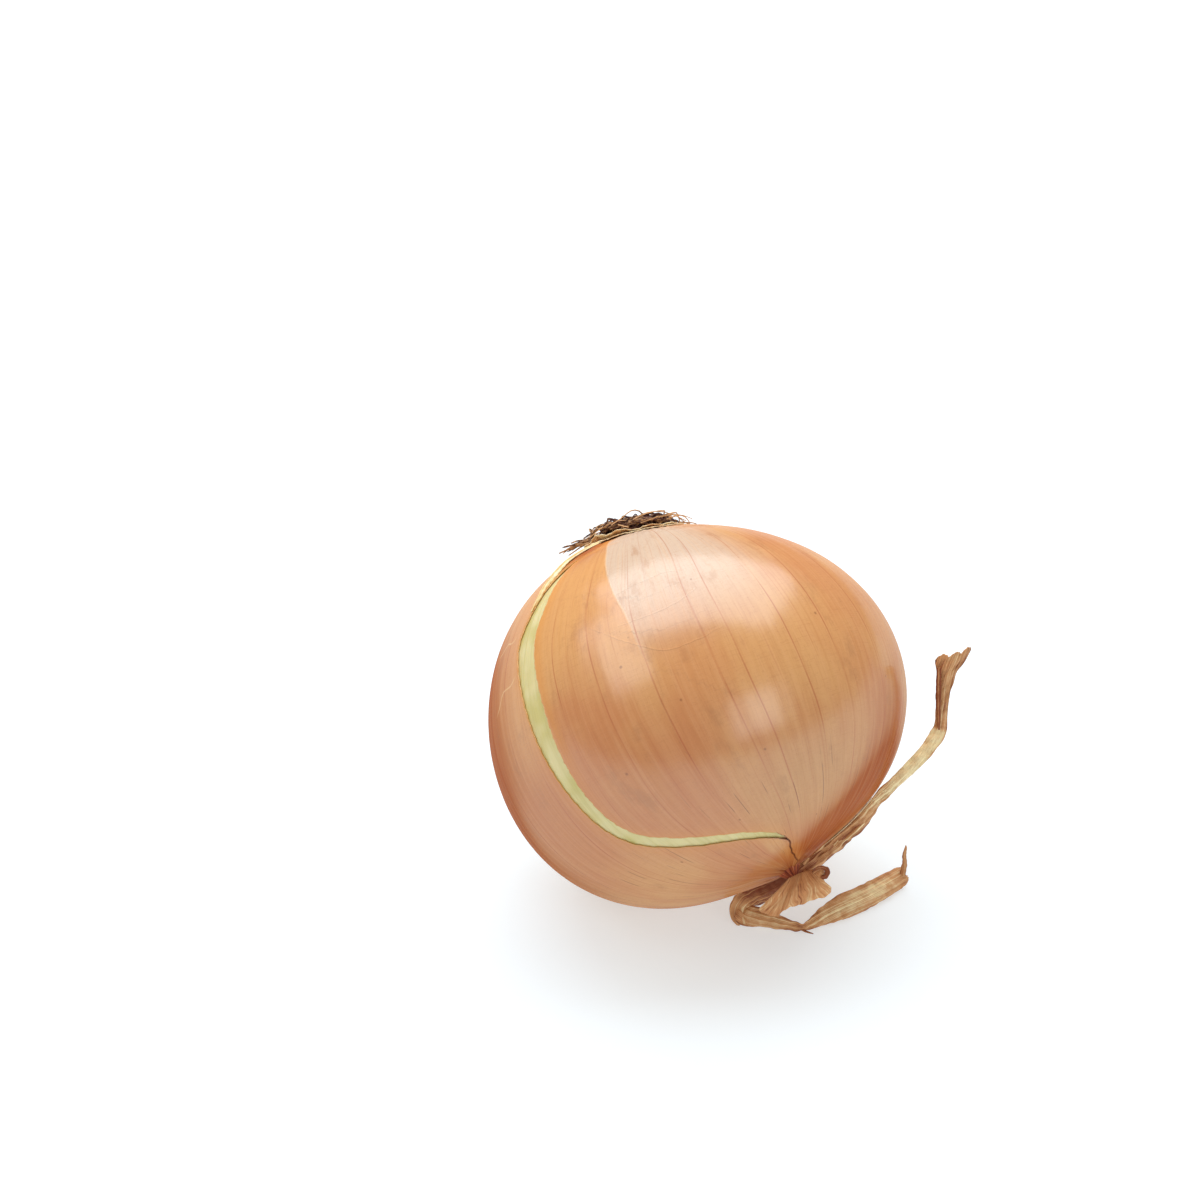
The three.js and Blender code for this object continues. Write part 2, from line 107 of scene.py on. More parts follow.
bpy.ops.mesh.primitive_plane_add(size=FLOOR_SIZE)
floor = bpy.context.object
floor.name = "floor"
floor_looks = {"Base Color": FLOOR_COLOUR, "Roughness": 0.7}
floor_looks.update({"Emission Color": (1.0, 1.0, 1.0, 1.0), "Emission Strength": FLOOR_GLOW})
floor.data.materials.append(new_material("floor_white", floor_looks)[0])

# The fleshy bulb.
# The outermost juicy scale, pale yellow-green, which shows through the split in the dry skin.
# It is one swollen body whose fine veins run from root to neck.
BULB_CENTRE = np.array([2.5, -3.7, 40.0])
NECK_AXIS = np.array([0.37, -0.6081, -0.7024])
RIGHT_AXIS = np.array([0.9249, 0.1698, 0.3402])
AXES = np.stack([RIGHT_AXIS, np.cross(NECK_AXIS, RIGHT_AXIS), NECK_AXIS])
MEAN_RADIUS = 40.3
RADIUS_WAVES = (0.2, -2.5, 0.7, -0.1)
LEAN_RIGHT = 1.0
LEAN_WITH_AXIS = 0.3
LEAN_AT_POLES = -3.7
ROOT_SHIFT = 0.1
NECK_SHIFT = 0.17
NECK_RISE = 0.8
NECK_RISE_ANGLE = np.radians(9.0)
PLEAT_DEPTH = 0.45
PLEAT_COUNT = 11
PLEAT_ANGLE = np.radians(16.0)
FLESH_DEPTH = 0.24
FLESH_DEPTH_AT_POLES = 0.4
FLESH_RINGS = 120
FLESH_COLUMNS = 240
MM = 0.001
EVEN = (1, 1, 1)


def unit(vectors):
    """Each vector over its own length."""
    return vectors / np.linalg.norm(vectors, axis=-1, keepdims=True)


def stacked(*parts):
    """The parts brought to one shape and stacked as vectors."""
    return np.stack(np.broadcast_arrays(*parts), axis=-1)


def all_round(count):
    """Even angles once round, in one row."""
    return np.linspace(0, 2 * np.pi, count, endpoint=False)[None, :]


def meridian_direction(from_root, around):
    """The vector (sin a cos b + s cos a cos a, sin a sin b, -cos a) at length 1, for the angle a from the
    root pole and the angle b round the axis, where s shifts the meridians' meeting points off the axis."""
    shift = np.where(np.cos(from_root) > 0, ROOT_SHIFT, NECK_SHIFT)
    x = np.sin(from_root) * np.cos(around) + shift * np.cos(from_root) ** 2
    y = np.sin(from_root) * np.sin(around)
    return unit(stacked(x, y, -np.cos(from_root)))


def smooth_radius(direction):
    """A mean radius, plus four cosines of the angle from the root pole, plus a lean to the right side."""
    from_root = np.arccos(np.clip(-direction[..., 2], -1.0, 1.0))
    waves = sum(size * np.cos((i + 1) * from_root) for i, size in enumerate(RADIUS_WAVES))
    lean = LEAN_RIGHT + LEAN_WITH_AXIS * direction[..., 2] + LEAN_AT_POLES * direction[..., 2] ** 2
    return MEAN_RADIUS + waves + direction[..., 0] * lean


def neck_gather(from_root, around):
    """A bell-shaped rise at the neck pole, plus cosine pleats round it that fade with distance."""
    from_neck = np.pi - from_root
    rise = NECK_RISE * np.exp(-((from_neck / NECK_RISE_ANGLE) ** 2))
    share = from_neck / PLEAT_ANGLE
    return rise + PLEAT_DEPTH * share * np.exp(1 - share**2 - share) * np.cos(PLEAT_COUNT * around)


def placed(direction, distance):
    """The bulb's centre plus the distance along the direction, turned from its own frame to the part's."""
    return BULB_CENTRE + (direction * np.asarray(distance)[..., None]) @ AXES


def skin_point(from_root, around, height):
    """The smooth radius plus the gather at the neck plus a height, along the meridian's direction."""
    direction = meridian_direction(from_root, around)
    return placed(direction, smooth_radius(direction) + neck_gather(from_root, around) + height)


def above_floor(points, level):
    """The points with every height under the level lifted to it."""
    points[..., 2] = np.maximum(points[..., 2], level)
    return points


def grid_faces(rows, columns, closed=False):
    """Four corner numbers for each cell of a grid that is numbered row by row, wrapped round if closed."""
    cells_across = columns if closed else columns - 1
    row, column = np.indices((rows - 1, cells_across))
    after = (column + 1) % columns
    corners = [row * columns + column, row * columns + after]
    corners += [(row + 1) * columns + after, (row + 1) * columns + column]
    return np.stack(corners, axis=-1).reshape(-1, 4)


def add_piece(name, points, faces, material, layers):
    """A smooth mesh in metres from points in millimetres, with its own layers of vectors and numbers."""
    mesh = bpy.data.meshes.new(name)
    mesh.from_pydata((points.reshape(-1, 3) * MM).tolist(), [], faces.tolist())
    for key, values in layers.items():
        is_vector = values.ndim > 2
        data = mesh.attributes.new(key, "FLOAT_VECTOR" if is_vector else "FLOAT", "POINT").data
        data.foreach_set("vector" if is_vector else "value", values.astype(np.float32).ravel())
    mesh.polygons.foreach_set("use_smooth", np.ones(len(mesh.polygons), dtype=bool))
    mesh.materials.append(material)
    mesh.validate()
    mesh.update()
    piece = bpy.data.objects.new(name, mesh)
    bpy.context.scene.collection.objects.link(piece)
    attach(piece, "root")
    return piece


def srgb(red, green, blue):
    """A display colour of 0 to 255 as the linear colour that a shader takes."""
    shown = np.array([red, green, blue]) / 255
    linear = np.where(shown <= 0.04045, shown / 12.92, ((shown + 0.055) / 1.055) ** 2.4)
    return (*linear.tolist(), 1.0)


def node(tree, kind, inputs, **settings):
    """A node with its settings and inputs set, where an input that is a socket is linked."""
    made = tree.nodes.new(kind)
    for key, value in settings.items():
        setattr(made, key, value)
    for key, value in inputs.items():
        if isinstance(value, bpy.types.NodeSocket):
            tree.links.new(value, made.inputs[key])
        else:
            made.inputs[key].default_value = value
    return made


def layer(tree, name, output="Fac"):
    """The number of a mesh's own layer, or its vector."""
    return node(tree, "ShaderNodeAttribute", {}, attribute_name=name).outputs[output]


def noise(tree, vector, stretch, scale, detail=3.0, rough=0.55):
    """Smooth noise between 0 and 1 at a vector that is first multiplied by the stretch, axis by axis."""
    place = node(tree, "ShaderNodeVectorMath", {0: vector, 1: stretch}, operation="MULTIPLY").outputs[0]
    inputs = {"Vector": place, "Scale": scale, "Detail": detail, "Roughness": rough}
    return node(tree, "ShaderNodeTexNoise", inputs).outputs[0]


def step(tree, value, low, high, to_low=0.0, to_high=1.0):
    """A smooth step from one value to another as the input goes from low to high."""
    inputs = {"Value": value, "From Min": low, "From Max": high, "To Min": to_low, "To Max": to_high}
    return node(tree, "ShaderNodeMapRange", inputs, interpolation_type="SMOOTHSTEP").outputs["Result"]


def maths(tree, operation, first, second):
    """A sum, product or other operation on two numbers."""
    return node(tree, "ShaderNodeMath", {0: first, 1: second}, operation=operation).outputs[0]


def mixed(tree, share, first, second):
    """Two colours mixed by a share."""
    return node(tree, "ShaderNodeMix", {0: share, 6: first, 7: second}, data_type="RGBA").outputs[2]


def finish_shader(tree, shader, base, height, distance):
    """The base colour and a bump linked to the shader. A height of 1 stands for the distance, in metres."""
    bump = node(tree, "ShaderNodeBump", {"Height": height, "Distance": distance})
    tree.links.new(bump.outputs["Normal"], shader.inputs["Normal"])
    tree.links.new(base, shader.inputs["Base Color"])


def flesh_material():
    """Pale yellow-green, moist, with fine darker veins along the meridians and painted brown shade towards
    the neck end, where the split is a narrow crack; a little light goes in.
    """
    material, tree, shader = new_material("pale_flesh", {
        "Roughness": 0.36,
        "Specular IOR Level": 0.5,
        "Subsurface Weight": 0.2,
        "Subsurface Radius": (0.003, 0.002, 0.001),
        "Subsurface Scale": 0.5,
    })
    grain = layer(tree, "grain", "Vector")
    veins = noise(tree, grain, (1.1, 1.1, 0.05), 1.0)
    blotches = noise(tree, grain, EVEN, 0.12, 2.0)
    base = mixed(tree, step(tree, blotches, 0.35, 0.65), srgb(204, 192, 122), srgb(222, 210, 156))
    base = mixed(tree, step(tree, veins, 0.42, 0.7, 0.0, 0.45), base, srgb(186, 172, 96))
    # Brown towards the neck end, where the split narrows to a crack: painted shade in the crack.
    base = mixed(tree, layer(tree, "end"), base, srgb(150, 84, 50))
    finish_shader(tree, shader, base, veins, 0.00012)
    return material


def meridian_grain(from_root, around):
    """A circle round the axis and a length along it, so that noise can be drawn out along the meridians."""
    return MEAN_RADIUS * stacked(np.cos(around), np.sin(around), from_root)


def smooth_step(value, low, high):
    """0 below low, 1 above high, and the cubic 3 t t - 2 t t t between."""
    t = np.clip((value - low) / (high - low), 0.0, 1.0)
    return t * t * (3 - 2 * t)


flesh_from_root = np.linspace(0.01, np.pi - 0.01, FLESH_RINGS)[:, None]
flesh_around = all_round(FLESH_COLUMNS)
flesh_depth = FLESH_DEPTH + FLESH_DEPTH_AT_POLES * np.cos(flesh_from_root) ** 6
flesh_points = skin_point(flesh_from_root, flesh_around, -flesh_depth)
flesh_points = above_floor(flesh_points, FLESH_DEPTH)
# Past the place where the split narrows to a crack, the flesh is painted dark as shade in the crack.
flesh_crack_shade = smooth_step(flesh_from_root, np.radians(147.0), np.radians(150.0)) + 0 * flesh_around
flesh_faces = grid_faces(FLESH_RINGS, FLESH_COLUMNS, closed=True)
flesh_layers = {"grain": meridian_grain(flesh_from_root, flesh_around), "end": flesh_crack_shade}
flesh = add_piece("flesh", flesh_points, flesh_faces, flesh_material(), flesh_layers)
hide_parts("fleshy_bulb")

# The dry outer skin.
# One copper-coloured skin, thin as paper, veined from root to neck and gathered in folds round the neck.
# It has split along the front left down to the flesh, and its two lips are dry and stained golden.
SPLIT_STATIONS = np.array([
    [26.5, 104.6, 0.1], [29.7, 120.8, 0.4], [39.3, 129.1, 2.6], [48.8, 132.4, 4.4], [57.3, 135.2, 5.4],
    [64.5, 135, 5.2], [73.4, 133.8, 5], [82, 132.8, 4.8], [89.8, 132.2, 4.3], [97.9, 131.4, 3.7],
    [106.7, 130.2, 3.1], [116, 128, 2.8], [123.2, 123.6, 2.6], [129.2, 114.8, 2.5], [133.5, 105, 2.4],
    [138.1, 91, 2.2], [142.8, 78, 1.7], [146.2, 71, 0.9], [149, 66.5, 0.16], [153.3, 62, 0.14],
    [160, 52, 0.1], [165, 30, 0.04],
])
# Each crease is a line of angles from the root pole and round the axis.
CREASES = [
    [[62.6, 111.7], [67.9, 105.7], [72.9, 100.7], [77.3, 95.5], [81, 90.2], [81.5, 80.6], [79.2, 68]],
    [[59, 104], [57.5, 95], [57, 86], [56.8, 80.6], [60.2, 73.6]],
    [[68.2, 104], [69.4, 92], [68.9, 82], [66, 73]],
    [[38.9, 100.5], [46, 99.8], [55.5, 99], [62, 98], [68.2, 96.8]],
    [[90, 96], [97, 95.8], [105.4, 95.6], [112, 94]],
    [[60, 240], [66, 252], [75, 262], [84, 266]],
    [[95, 330], [99, 320], [101, 308]],
]
# Each scratch is a paler torn line.
SCRATCHES = [
    [[53.4, 143.3], [54.6, 146], [53.7, 150.3], [55.3, 154], [55.8, 159.6]],
    [[66.1, 139.7], [68.4, 143.5], [68.8, 148.9], [72, 152], [74.5, 155.6]],
    [[104, 212], [98, 218], [93, 222]],
]
# Each patch is its angle from the root pole, its angle round, its size in degrees and its strength.
PATCHES = {
    "gold": [
        [44, 112, 18, 1], [62, 124, 13, 0.8], [40, 160, 16, 0.8], [82, 96, 15, 0.45], [88, 72, 16, 0.5],
        [70, 150, 14, 0.8], [88, 150, 13, 0.6], [78, 12, 16, 0.6], [94, 44, 16, 0.5], [60, 250, 26, 0.6],
        [100, 300, 26, 0.6], [130, 200, 24, 0.4],
    ],
    "rose": [
        [104, 144, 18, 0.7], [118, 141, 18, 0.8], [110, 106, 20, 0.75], [84, 20, 14, 0.3],
        [92, 218, 26, 0.7], [70, 320, 26, 0.5], [130, 290, 22, 0.5],
    ],
    "tan": [
        [131, 70, 15, 0.8], [128, 52, 14, 0.8], [72, 68, 16, 0.4], [36, 60, 22, 0.6], [40, 280, 24, 0.6],
    ],
    # Rust patches: the skin's own rust-brown, and along the left edge and low on the right side towards the
    # neck also painted shade and painted orange reflection.
    "rust_and_shade": [
        [128, 16, 12, 1], [137, 20, 12, 1], [146, 28, 11, 1], [155, 34, 11, 1], [110, 22, 10, 0.4],
        [74, 170, 12, 0.8], [88, 171, 12, 0.8], [101, 172, 12, 0.8], [60, 170, 12, 0.7], [115, 173, 12, 0.6],
        [46, 170, 12, 0.5], [129, 172, 12, 0.4], [74, 182, 12, 0.6], [90, 183, 12, 0.6], [64, 153, 12, 0.35],
        [79, 153, 11, 0.4], [93, 156, 11, 0.4], [60, 205, 20, 0.3], [120, 250, 18, 0.5], [20, 110, 9, 0.9],
        [28, 122, 6, 0.6], [165, 100, 12, 0.6],
    ],
}
PATCH_COLOURS = {
    "gold": (220, 163, 100), "rose": (194, 122, 72), "tan": (200, 148, 94), "rust_and_shade": (160, 72, 18)
}
# Painted shade in the folds round the neck, laid on as patches are.
NECK_FOLD_SHADE = [
    [161, -35, 6, 0.8], [160, -2, 6, 0.8], [155, 19, 6, 0.5], [169, -80, 6, 0.9], [166, -49, 6, 0.8],
]
# A second, paler and pinker layer of skin ends at this line on its left side. Its pale colour is partly that
# layer and partly painted highlight where the overhead box is reflected.
FILM_EDGE = [
    [14.3, 91], [21.6, 98.4], [34.2, 99.2], [42.6, 99.8], [50.8, 99.5], [59.1, 98.4], [65.5, 97.1],
    [70.9, 96.7], [80, 96.5],
]
SKIN_RINGS = 210
SKIN_COLUMNS = 210
SKIN_FROM = np.radians(11.5)
SKIN_TO = np.radians(177.0)
LIP_HEM = ((1.2, -0.3), (0.5, -0.28), (0.14, -0.24), (0.02, -0.15))
LIP_FACE = ((0.0, -0.06), (0.1, -0.01), (0.3, 0.0), (0.7, 0.0), (1.3, 0.0), (2.2, 0.0), (3.4, 0.0))
LIP_ROLL = 0.05
LIP_WANDER = 0.13
CRACK_FROM = np.radians(148.0)
CRACK_WANDER = 0.2
RIDGE_HEIGHT = 0.025
FINE_PLEATS = 0.16
ROOT_CREASES = 0.12
VEIN_COUNT = 27
SPLIT_STEPS = 600
LEAST_GAP = 0.01


def smooth_line(stations, count):
    """A Catmull-Rom curve through the stations, spaced by the square root of their gaps, at even steps. Two
    stations that are the same count as the least gap apart."""
    lead = stations[:1] * 2 - stations[1:2]
    tail = stations[-1:] * 2 - stations[-2:-1]
    points = np.concatenate([lead, stations, tail])
    gaps = np.maximum(np.linalg.norm(np.diff(points, axis=0), axis=1), LEAST_GAP) ** 0.5
    place = np.linspace(0.0, len(stations) - 1.0, count)
    start = np.minimum(place.astype(int), len(stations) - 2)
    t = (place - start)[:, None]
    before, here, there, after = (points[start + k] for k in range(4))
    gap_before, gap, gap_after = (gaps[start + k][:, None] for k in range(3))
    along = there - here
    slope_here = along + gap * ((here - before) / gap_before - (there - before) / (gap_before + gap))
    slope_there = along + gap * ((after - there) / gap_after - (after - here) / (gap + gap_after))
    square = 3 * along - 2 * slope_here - slope_there
    cube = slope_here + slope_there - 2 * along
    return here + slope_here * t + square * t**2 + cube * t**3


def plain_direction(from_root, around):
    """The unit vector for plain angles from the bulb's own axis."""
    flat = np.sin(from_root)
    return stacked(flat * np.cos(around), flat * np.sin(around), -np.cos(from_root))


def line_on_bulb(angles, count):
    """The smooth line through pairs of angles in degrees, as unit vectors."""
    pairs = np.radians(np.array(angles, dtype=float))
    return unit(smooth_line(plain_direction(pairs[:, 0], pairs[:, 1]), count))


def meridian_angles(direction):
    """The shifted-meridian angles of a direction, by repeating the sum for the angle from the root pole."""
    shift = np.where(direction[..., 2] < 0, ROOT_SHIFT, NECK_SHIFT)
    height = -direction[..., 2]
    cosine = height
    for _ in range(12):
        x = direction[..., 0] - shift * height * cosine
        flat = np.hypot(x, direction[..., 1])
        cosine = height / np.hypot(height, flat)
    return np.arctan2(flat, height), np.arctan2(direction[..., 1], x)


split_line = line_on_bulb(SPLIT_STATIONS[:, :2], SPLIT_STEPS)
split_from_root, split_around = meridian_angles(split_line)
split_place = np.linspace(0, len(SPLIT_STATIONS) - 1, SPLIT_STEPS)
split_widths = np.interp(split_place, np.arange(len(SPLIT_STATIONS)), SPLIT_STATIONS[:, 2])


def wander(along, kind):
    """Two sine waves of different lengths, shifted for each kind, between about -1 and 1."""
    return 0.55 * np.sin(17 * along + 1.7 * kind) + 0.45 * np.sin(41 * along + 2.9 * kind)


def skin_surface():
    """Columns run from one lip of the split round the bulb to the other. Near a lip they keep set distances
    from it, with a hem turned under, and elsewhere they are spread evenly. Returns the points, the angles,
    the distance from the lip and the share of the way round."""
    from_root = np.linspace(SKIN_FROM, SKIN_TO, SKIN_RINGS)
    middle = np.interp(from_root, split_from_root, split_around)
    width = np.interp(from_root, split_from_root, split_widths, left=0.0, right=0.0)
    in_crack = smooth_step(from_root, CRACK_FROM, CRACK_FROM + 0.05)
    jagged = CRACK_WANDER * wander(1.4 * from_root, 3) * in_crack
    middle = middle + jagged / (MEAN_RADIUS * np.sin(from_root))
    turn_rate = np.gradient(middle, from_root)
    slant = np.cos(np.arctan(turn_rate * np.sin(from_root)))
    per_mm = 1 / (MEAN_RADIUS * np.sin(from_root) * slant)
    room = np.minimum(1.0, 2 * np.pi / per_mm / 30)
    lip = np.array(LIP_HEM + LIP_FACE)
    edges = []
    for side, kind in ((1, 1), (-1, 2)):
        ragged = LIP_WANDER * wander(6 * from_root, kind) * np.minimum(width, 1.0)
        half_width = np.maximum(width / 2 + ragged, 0.0)
        away = half_width[:, None] + lip[None, :, 0] * room[:, None]
        edges.append(middle[:, None] + side * away * per_mm[:, None])
    first = edges[0]
    last = edges[1][:, ::-1] + 2 * np.pi
    shares = np.linspace(0, 1, SKIN_COLUMNS + 2)[None, 1:-1]
    even = first[:, -1:] + (last[:, :1] - first[:, -1:]) * shares
    around = np.concatenate([first, even, last], axis=1)
    in_hem = np.arange(len(lip)) < len(LIP_HEM)

    def both_lips(values, between):
        """The values, the one between for the even columns, and the values in reverse."""
        return np.concatenate([values, np.full(SKIN_COLUMNS, between), values[::-1]])

    from_lip = both_lips(lip[:, 0] * ~in_hem, lip[-1, 0]) * np.ones((SKIN_RINGS, 1))
    height = both_lips(lip[:, 1], 0.0)
    is_hem = both_lips(in_hem, False)
    side = np.concatenate([np.zeros(len(lip)), shares[0], np.ones(len(lip))]) * np.ones((SKIN_RINGS, 1))
    open_share = np.clip(width / 2, 0, 1)[:, None]
    roll = LIP_ROLL * open_share * np.exp(-((from_lip - 0.5) ** 2)) * ~is_hem
    from_root = from_root[:, None] * np.ones_like(around)
    from_neck = np.pi - from_root
    ridges = np.sin(31 * around + 2 * np.sin(2 * from_root))
    ridges = ridges + 0.8 * np.sin(53 * around + 3 * np.sin(from_root + 1))
    ridges = ridges + 0.7 * np.sin(17 * around + np.sin(3 * from_root))
    pleats = np.cos(29 * around + 3 * np.sin(5 * from_root)) * np.exp(-((from_neck / np.radians(17)) ** 2))
    creases = np.cos(47 * around + 2 * np.sin(4 * from_root)) * np.exp(-((from_root / np.radians(26)) ** 2))
    fade = smooth_step(from_lip, 0.5, 3.0)
    relief = RIDGE_HEIGHT * ridges * np.sin(from_root) + FINE_PLEATS * pleats + ROOT_CREASES * creases
    points = skin_point(from_root, around, height + roll + relief * fade)
    return above_floor(points, np.where(is_hem, 0.4, 0.0)), from_root, around, from_lip, side


def nearest_line(directions, lines, count):
    """For each direction, the signed distance in millimetres to the nearest of the lines, and a share that
    falls to 0 at that line's two ends."""
    flat = directions.reshape(-1, 3)
    nearest = np.full(len(flat), np.inf)
    signed = np.zeros(len(flat))
    fade = np.zeros(len(flat))
    for angles in lines:
        line = line_on_bulb(angles, count)
        ahead = np.gradient(line, axis=0)
        gaps = np.linalg.norm(flat[:, None] - line[None], axis=2)
        closest = gaps.argmin(axis=1)
        gap = gaps.min(axis=1)
        sign = np.sign(np.einsum("ij,ij->i", flat, np.cross(line, ahead)[closest]))
        share = closest / (count - 1)
        closer = gap < nearest
        nearest = np.where(closer, gap, nearest)
        signed = np.where(closer, gap * sign * MEAN_RADIUS, signed)
        fade = np.where(closer, smooth_step(share, 0, 0.2) * smooth_step(share, 1, 0.8), fade)
    return signed.reshape(directions.shape[:-1]), fade.reshape(directions.shape[:-1])


def patches(directions, spots):
    """The sum of bell-shaped spots on the bulb, each with its place, size and strength, cut off at 1."""
    total = 0
    for from_root, around, size, strength in spots:
        place = plain_direction(np.radians(from_root), np.radians(around))
        angle = np.arccos(np.clip(directions @ place, -1, 1))
        total = total + strength * np.exp(-((angle / np.radians(size)) ** 2))
    return np.minimum(total, 1.0)


def vein_lines(tree, place, scale, thin, thick, strength):
    """Lines at uneven places of a coordinate: the strength on a thin line, falling to 0 at a thick one."""
    cells = node(tree, "ShaderNodeTexVoronoi", {"W": place, "Scale": scale}, voronoi_dimensions="1D")
    line = step(tree, cells.outputs["Distance"], thin, thick, 1.0, 0.0)
    return maths(tree, "MULTIPLY", line, strength)


def drawn_line(tree, name, thin, thick, strength):
    """The strength within a thin distance of a line, falling to 0 at a thick one and at the line's ends."""
    away = maths(tree, "ABSOLUTE", layer(tree, name + "_distance"), 0.0)
    return maths(tree, "MULTIPLY", step(tree, away, thin, thick, strength, 0.0), layer(tree, name + "_fade"))


def skin_material():
    """Copper papery skin. Its patches are mixed over a mottled base, and the coats over them one by one. The
    same patterns raise it, and the rust patches, which along the left edge and low on the right side are
    also painted shade and painted orange reflection, are less glossy."""
    looks = {"Roughness": 0.5, "Specular IOR Level": 0.0, "Coat IOR": 2.8, "Coat Roughness": 0.23}
    material, tree, shader = new_material("dry_skin", looks)
    grain = layer(tree, "grain", "Vector")
    from_lip = layer(tree, "from_lip")
    cloud = noise(tree, grain, (1, 1, 0.7), 0.07)
    streaks = noise(tree, grain, (1, 1, 0.035), 0.9, 4.0, 0.6)
    fine = noise(tree, grain, (1, 1, 0.05), 4.0, 2.0)
    cells = noise(tree, grain, (0.35, 0.35, 4), 1.2, 2.0)
    grit = noise(tree, grain, EVEN, 2.2)
    smudges = noise(tree, grain, (1, 1, 0.6), 0.16, 5.0, 0.7)
    film_and_highlight = step(tree, layer(tree, "film_and_highlight_distance"), -0.15, 0.2)
    film_and_highlight = maths(tree, "MULTIPLY", film_and_highlight, layer(tree, "film_and_highlight"))
    bend = noise(tree, grain, (0.012, 0.012, 0.03), 1.0, 1.0)
    place = maths(tree, "ADD", layer(tree, "turn"), maths(tree, "MULTIPLY", bend, 0.6))
    strength = noise(tree, grain, (1, 1, 0.1), 0.5, 2.0)
    main_veins = vein_lines(tree, place, 1.0, 0.003, 0.026, step(tree, strength, 0.35, 0.65, 0.12, 0.6))
    small_veins = vein_lines(tree, place, 3.3, 0.01, 0.08, step(tree, strength, 0.6, 0.4, 0.0, 0.2))
    dashes = step(tree, noise(tree, grain, (1, 1, 0.3), 0.35, 2.0), 0.54, 0.62, 0.0, 0.7)
    dashes = vein_lines(tree, place, 2.6, 0.006, 0.045, maths(tree, "MULTIPLY", dashes, layer(tree, "aged")))
    specks = node(tree, "ShaderNodeTexVoronoi", {"Vector": grain, "Scale": 0.13}).outputs["Distance"]
    folds = step(tree, noise(tree, grain, (1, 1, 0.05), 0.6), 0.35, 0.65, 0.35, 1.0)
    stain = maths(tree, "MULTIPLY", step(tree, from_lip, 0.4, 3.2, 0.5, 0.0), layer(tree, "stain"))
    # Along the crack the lip edges turn dark brown: partly torn edges and partly painted shade in the narrow
    # crack.
    lip_colour = mixed(tree, layer(tree, "crack"), srgb(210, 160, 84), srgb(112, 50, 28))
    base = mixed(tree, step(tree, cloud, 0.35, 0.65), srgb(200, 133, 84), srgb(212, 158, 102))
    for patch, colour in PATCH_COLOURS.items():
        base = mixed(tree, maths(tree, "MULTIPLY", layer(tree, patch), 0.85), base, srgb(*colour))
    coats = (
        # The pale layer, partly painted highlight.
        (film_and_highlight, srgb(206, 188, 170)),
        (step(tree, streaks, 0.4, 0.7, 0.0, 0.2), srgb(226, 172, 122)),
        (step(tree, streaks, 0.5, 0.25, 0.0, 0.15), srgb(178, 104, 60)),
        (step(tree, fine, 0.52, 0.75, 0.0, 0.2), srgb(172, 100, 60)),
        (step(tree, cells, 0.5, 0.75, 0.0, 0.16), srgb(174, 104, 64)),
        (step(tree, grit, 0.55, 0.75, 0.0, 0.16), srgb(166, 100, 62)),
        (step(tree, smudges, 0.54, 0.72, 0.0, 0.4), srgb(168, 112, 72)),
        (main_veins, srgb(172, 88, 52)),
        (small_veins, srgb(180, 98, 58)),
        (dashes, srgb(112, 62, 42)),
        (step(tree, specks, 0.02, 0.055, 0.55, 0.0), srgb(122, 66, 38)),
        # Darker red-brown towards the neck and a little towards the root: partly the skin's own colour, and
        # in the folds by the neck painted shade.
        (maths(tree, "MULTIPLY", layer(tree, "end"), folds), srgb(140, 52, 20)),
        (stain, srgb(222, 150, 70)),
        (step(tree, from_lip, 0.06, 0.3, 0.6, 0.0), lip_colour),
        (drawn_line(tree, "scratch", 0.05, 0.25, 0.45), srgb(238, 206, 150)),
        (drawn_line(tree, "film_and_highlight", 0.05, 0.35, 0.35), srgb(240, 206, 168)),
    )
    for share, colour in coats:
        base = mixed(tree, share, base, colour)
    tree.links.new(step(tree, layer(tree, "rust_and_shade"), 0.0, 1.0, 0.34, 0.1), shader.inputs["Coat Weight"])
    heights = (
        (streaks, 0.9),
        (fine, 0.45),
        (cells, 0.4),
        (grit, 0.4),
        (main_veins, 0.25),
        (drawn_line(tree, "crease", 0.0, 0.25, 1.0), 0.7),
        (film_and_highlight, 0.6),
    )
    relief = 0.0
    for pattern, share in heights:
        relief = maths(tree, "ADD", maths(tree, "MULTIPLY", pattern, share), relief)
    finish_shader(tree, shader, base, relief, 0.0001)
    return material


skin_points, skin_from_root, skin_around, skin_from_lip, skin_side = skin_surface()
skin_directions = meridian_direction(skin_from_root, skin_around)
plain_from_root = np.arccos(-skin_directions[..., 2])
plain_around = np.arctan2(skin_directions[..., 1], skin_directions[..., 0])
# Where the pale layer lies, fading towards the neck and to both sides: partly a real layer and partly
# painted highlight.
film_and_highlight = 0.88 * smooth_step(plain_from_root, np.radians(86), np.radians(56))
film_and_highlight = film_and_highlight * smooth_step(plain_around, np.radians(40), np.radians(66))
film_and_highlight = film_and_highlight * smooth_step(plain_around, np.radians(125), np.radians(114))
# The end layer: darker towards the neck and a little towards the root. This is partly the skin's own colour
# and partly painted shade in the folds by the neck.
near_neck = np.exp(-(((np.pi - skin_from_root) / np.radians(10)) ** 2))
near_root = 0.2 * np.exp(-((skin_from_root / np.radians(18)) ** 2))
upper_half = smooth_step(skin_from_root, np.radians(110), np.radians(60))
skin_layers = {
    "grain": meridian_grain(skin_from_root, skin_around),
    "turn": skin_around / (2 * np.pi) * VEIN_COUNT,
    "from_lip": skin_from_lip,
    "film_and_highlight": film_and_highlight,
    "stain": 0.35 + 0.65 * upper_half * skin_side,
    "crack": smooth_step(skin_from_root, np.radians(140), np.radians(147)),
    "end": np.minimum(near_neck + near_root + patches(skin_directions, NECK_FOLD_SHADE), 1.0),
    "aged": smooth_step(skin_from_root, np.radians(112), np.radians(132)),
}
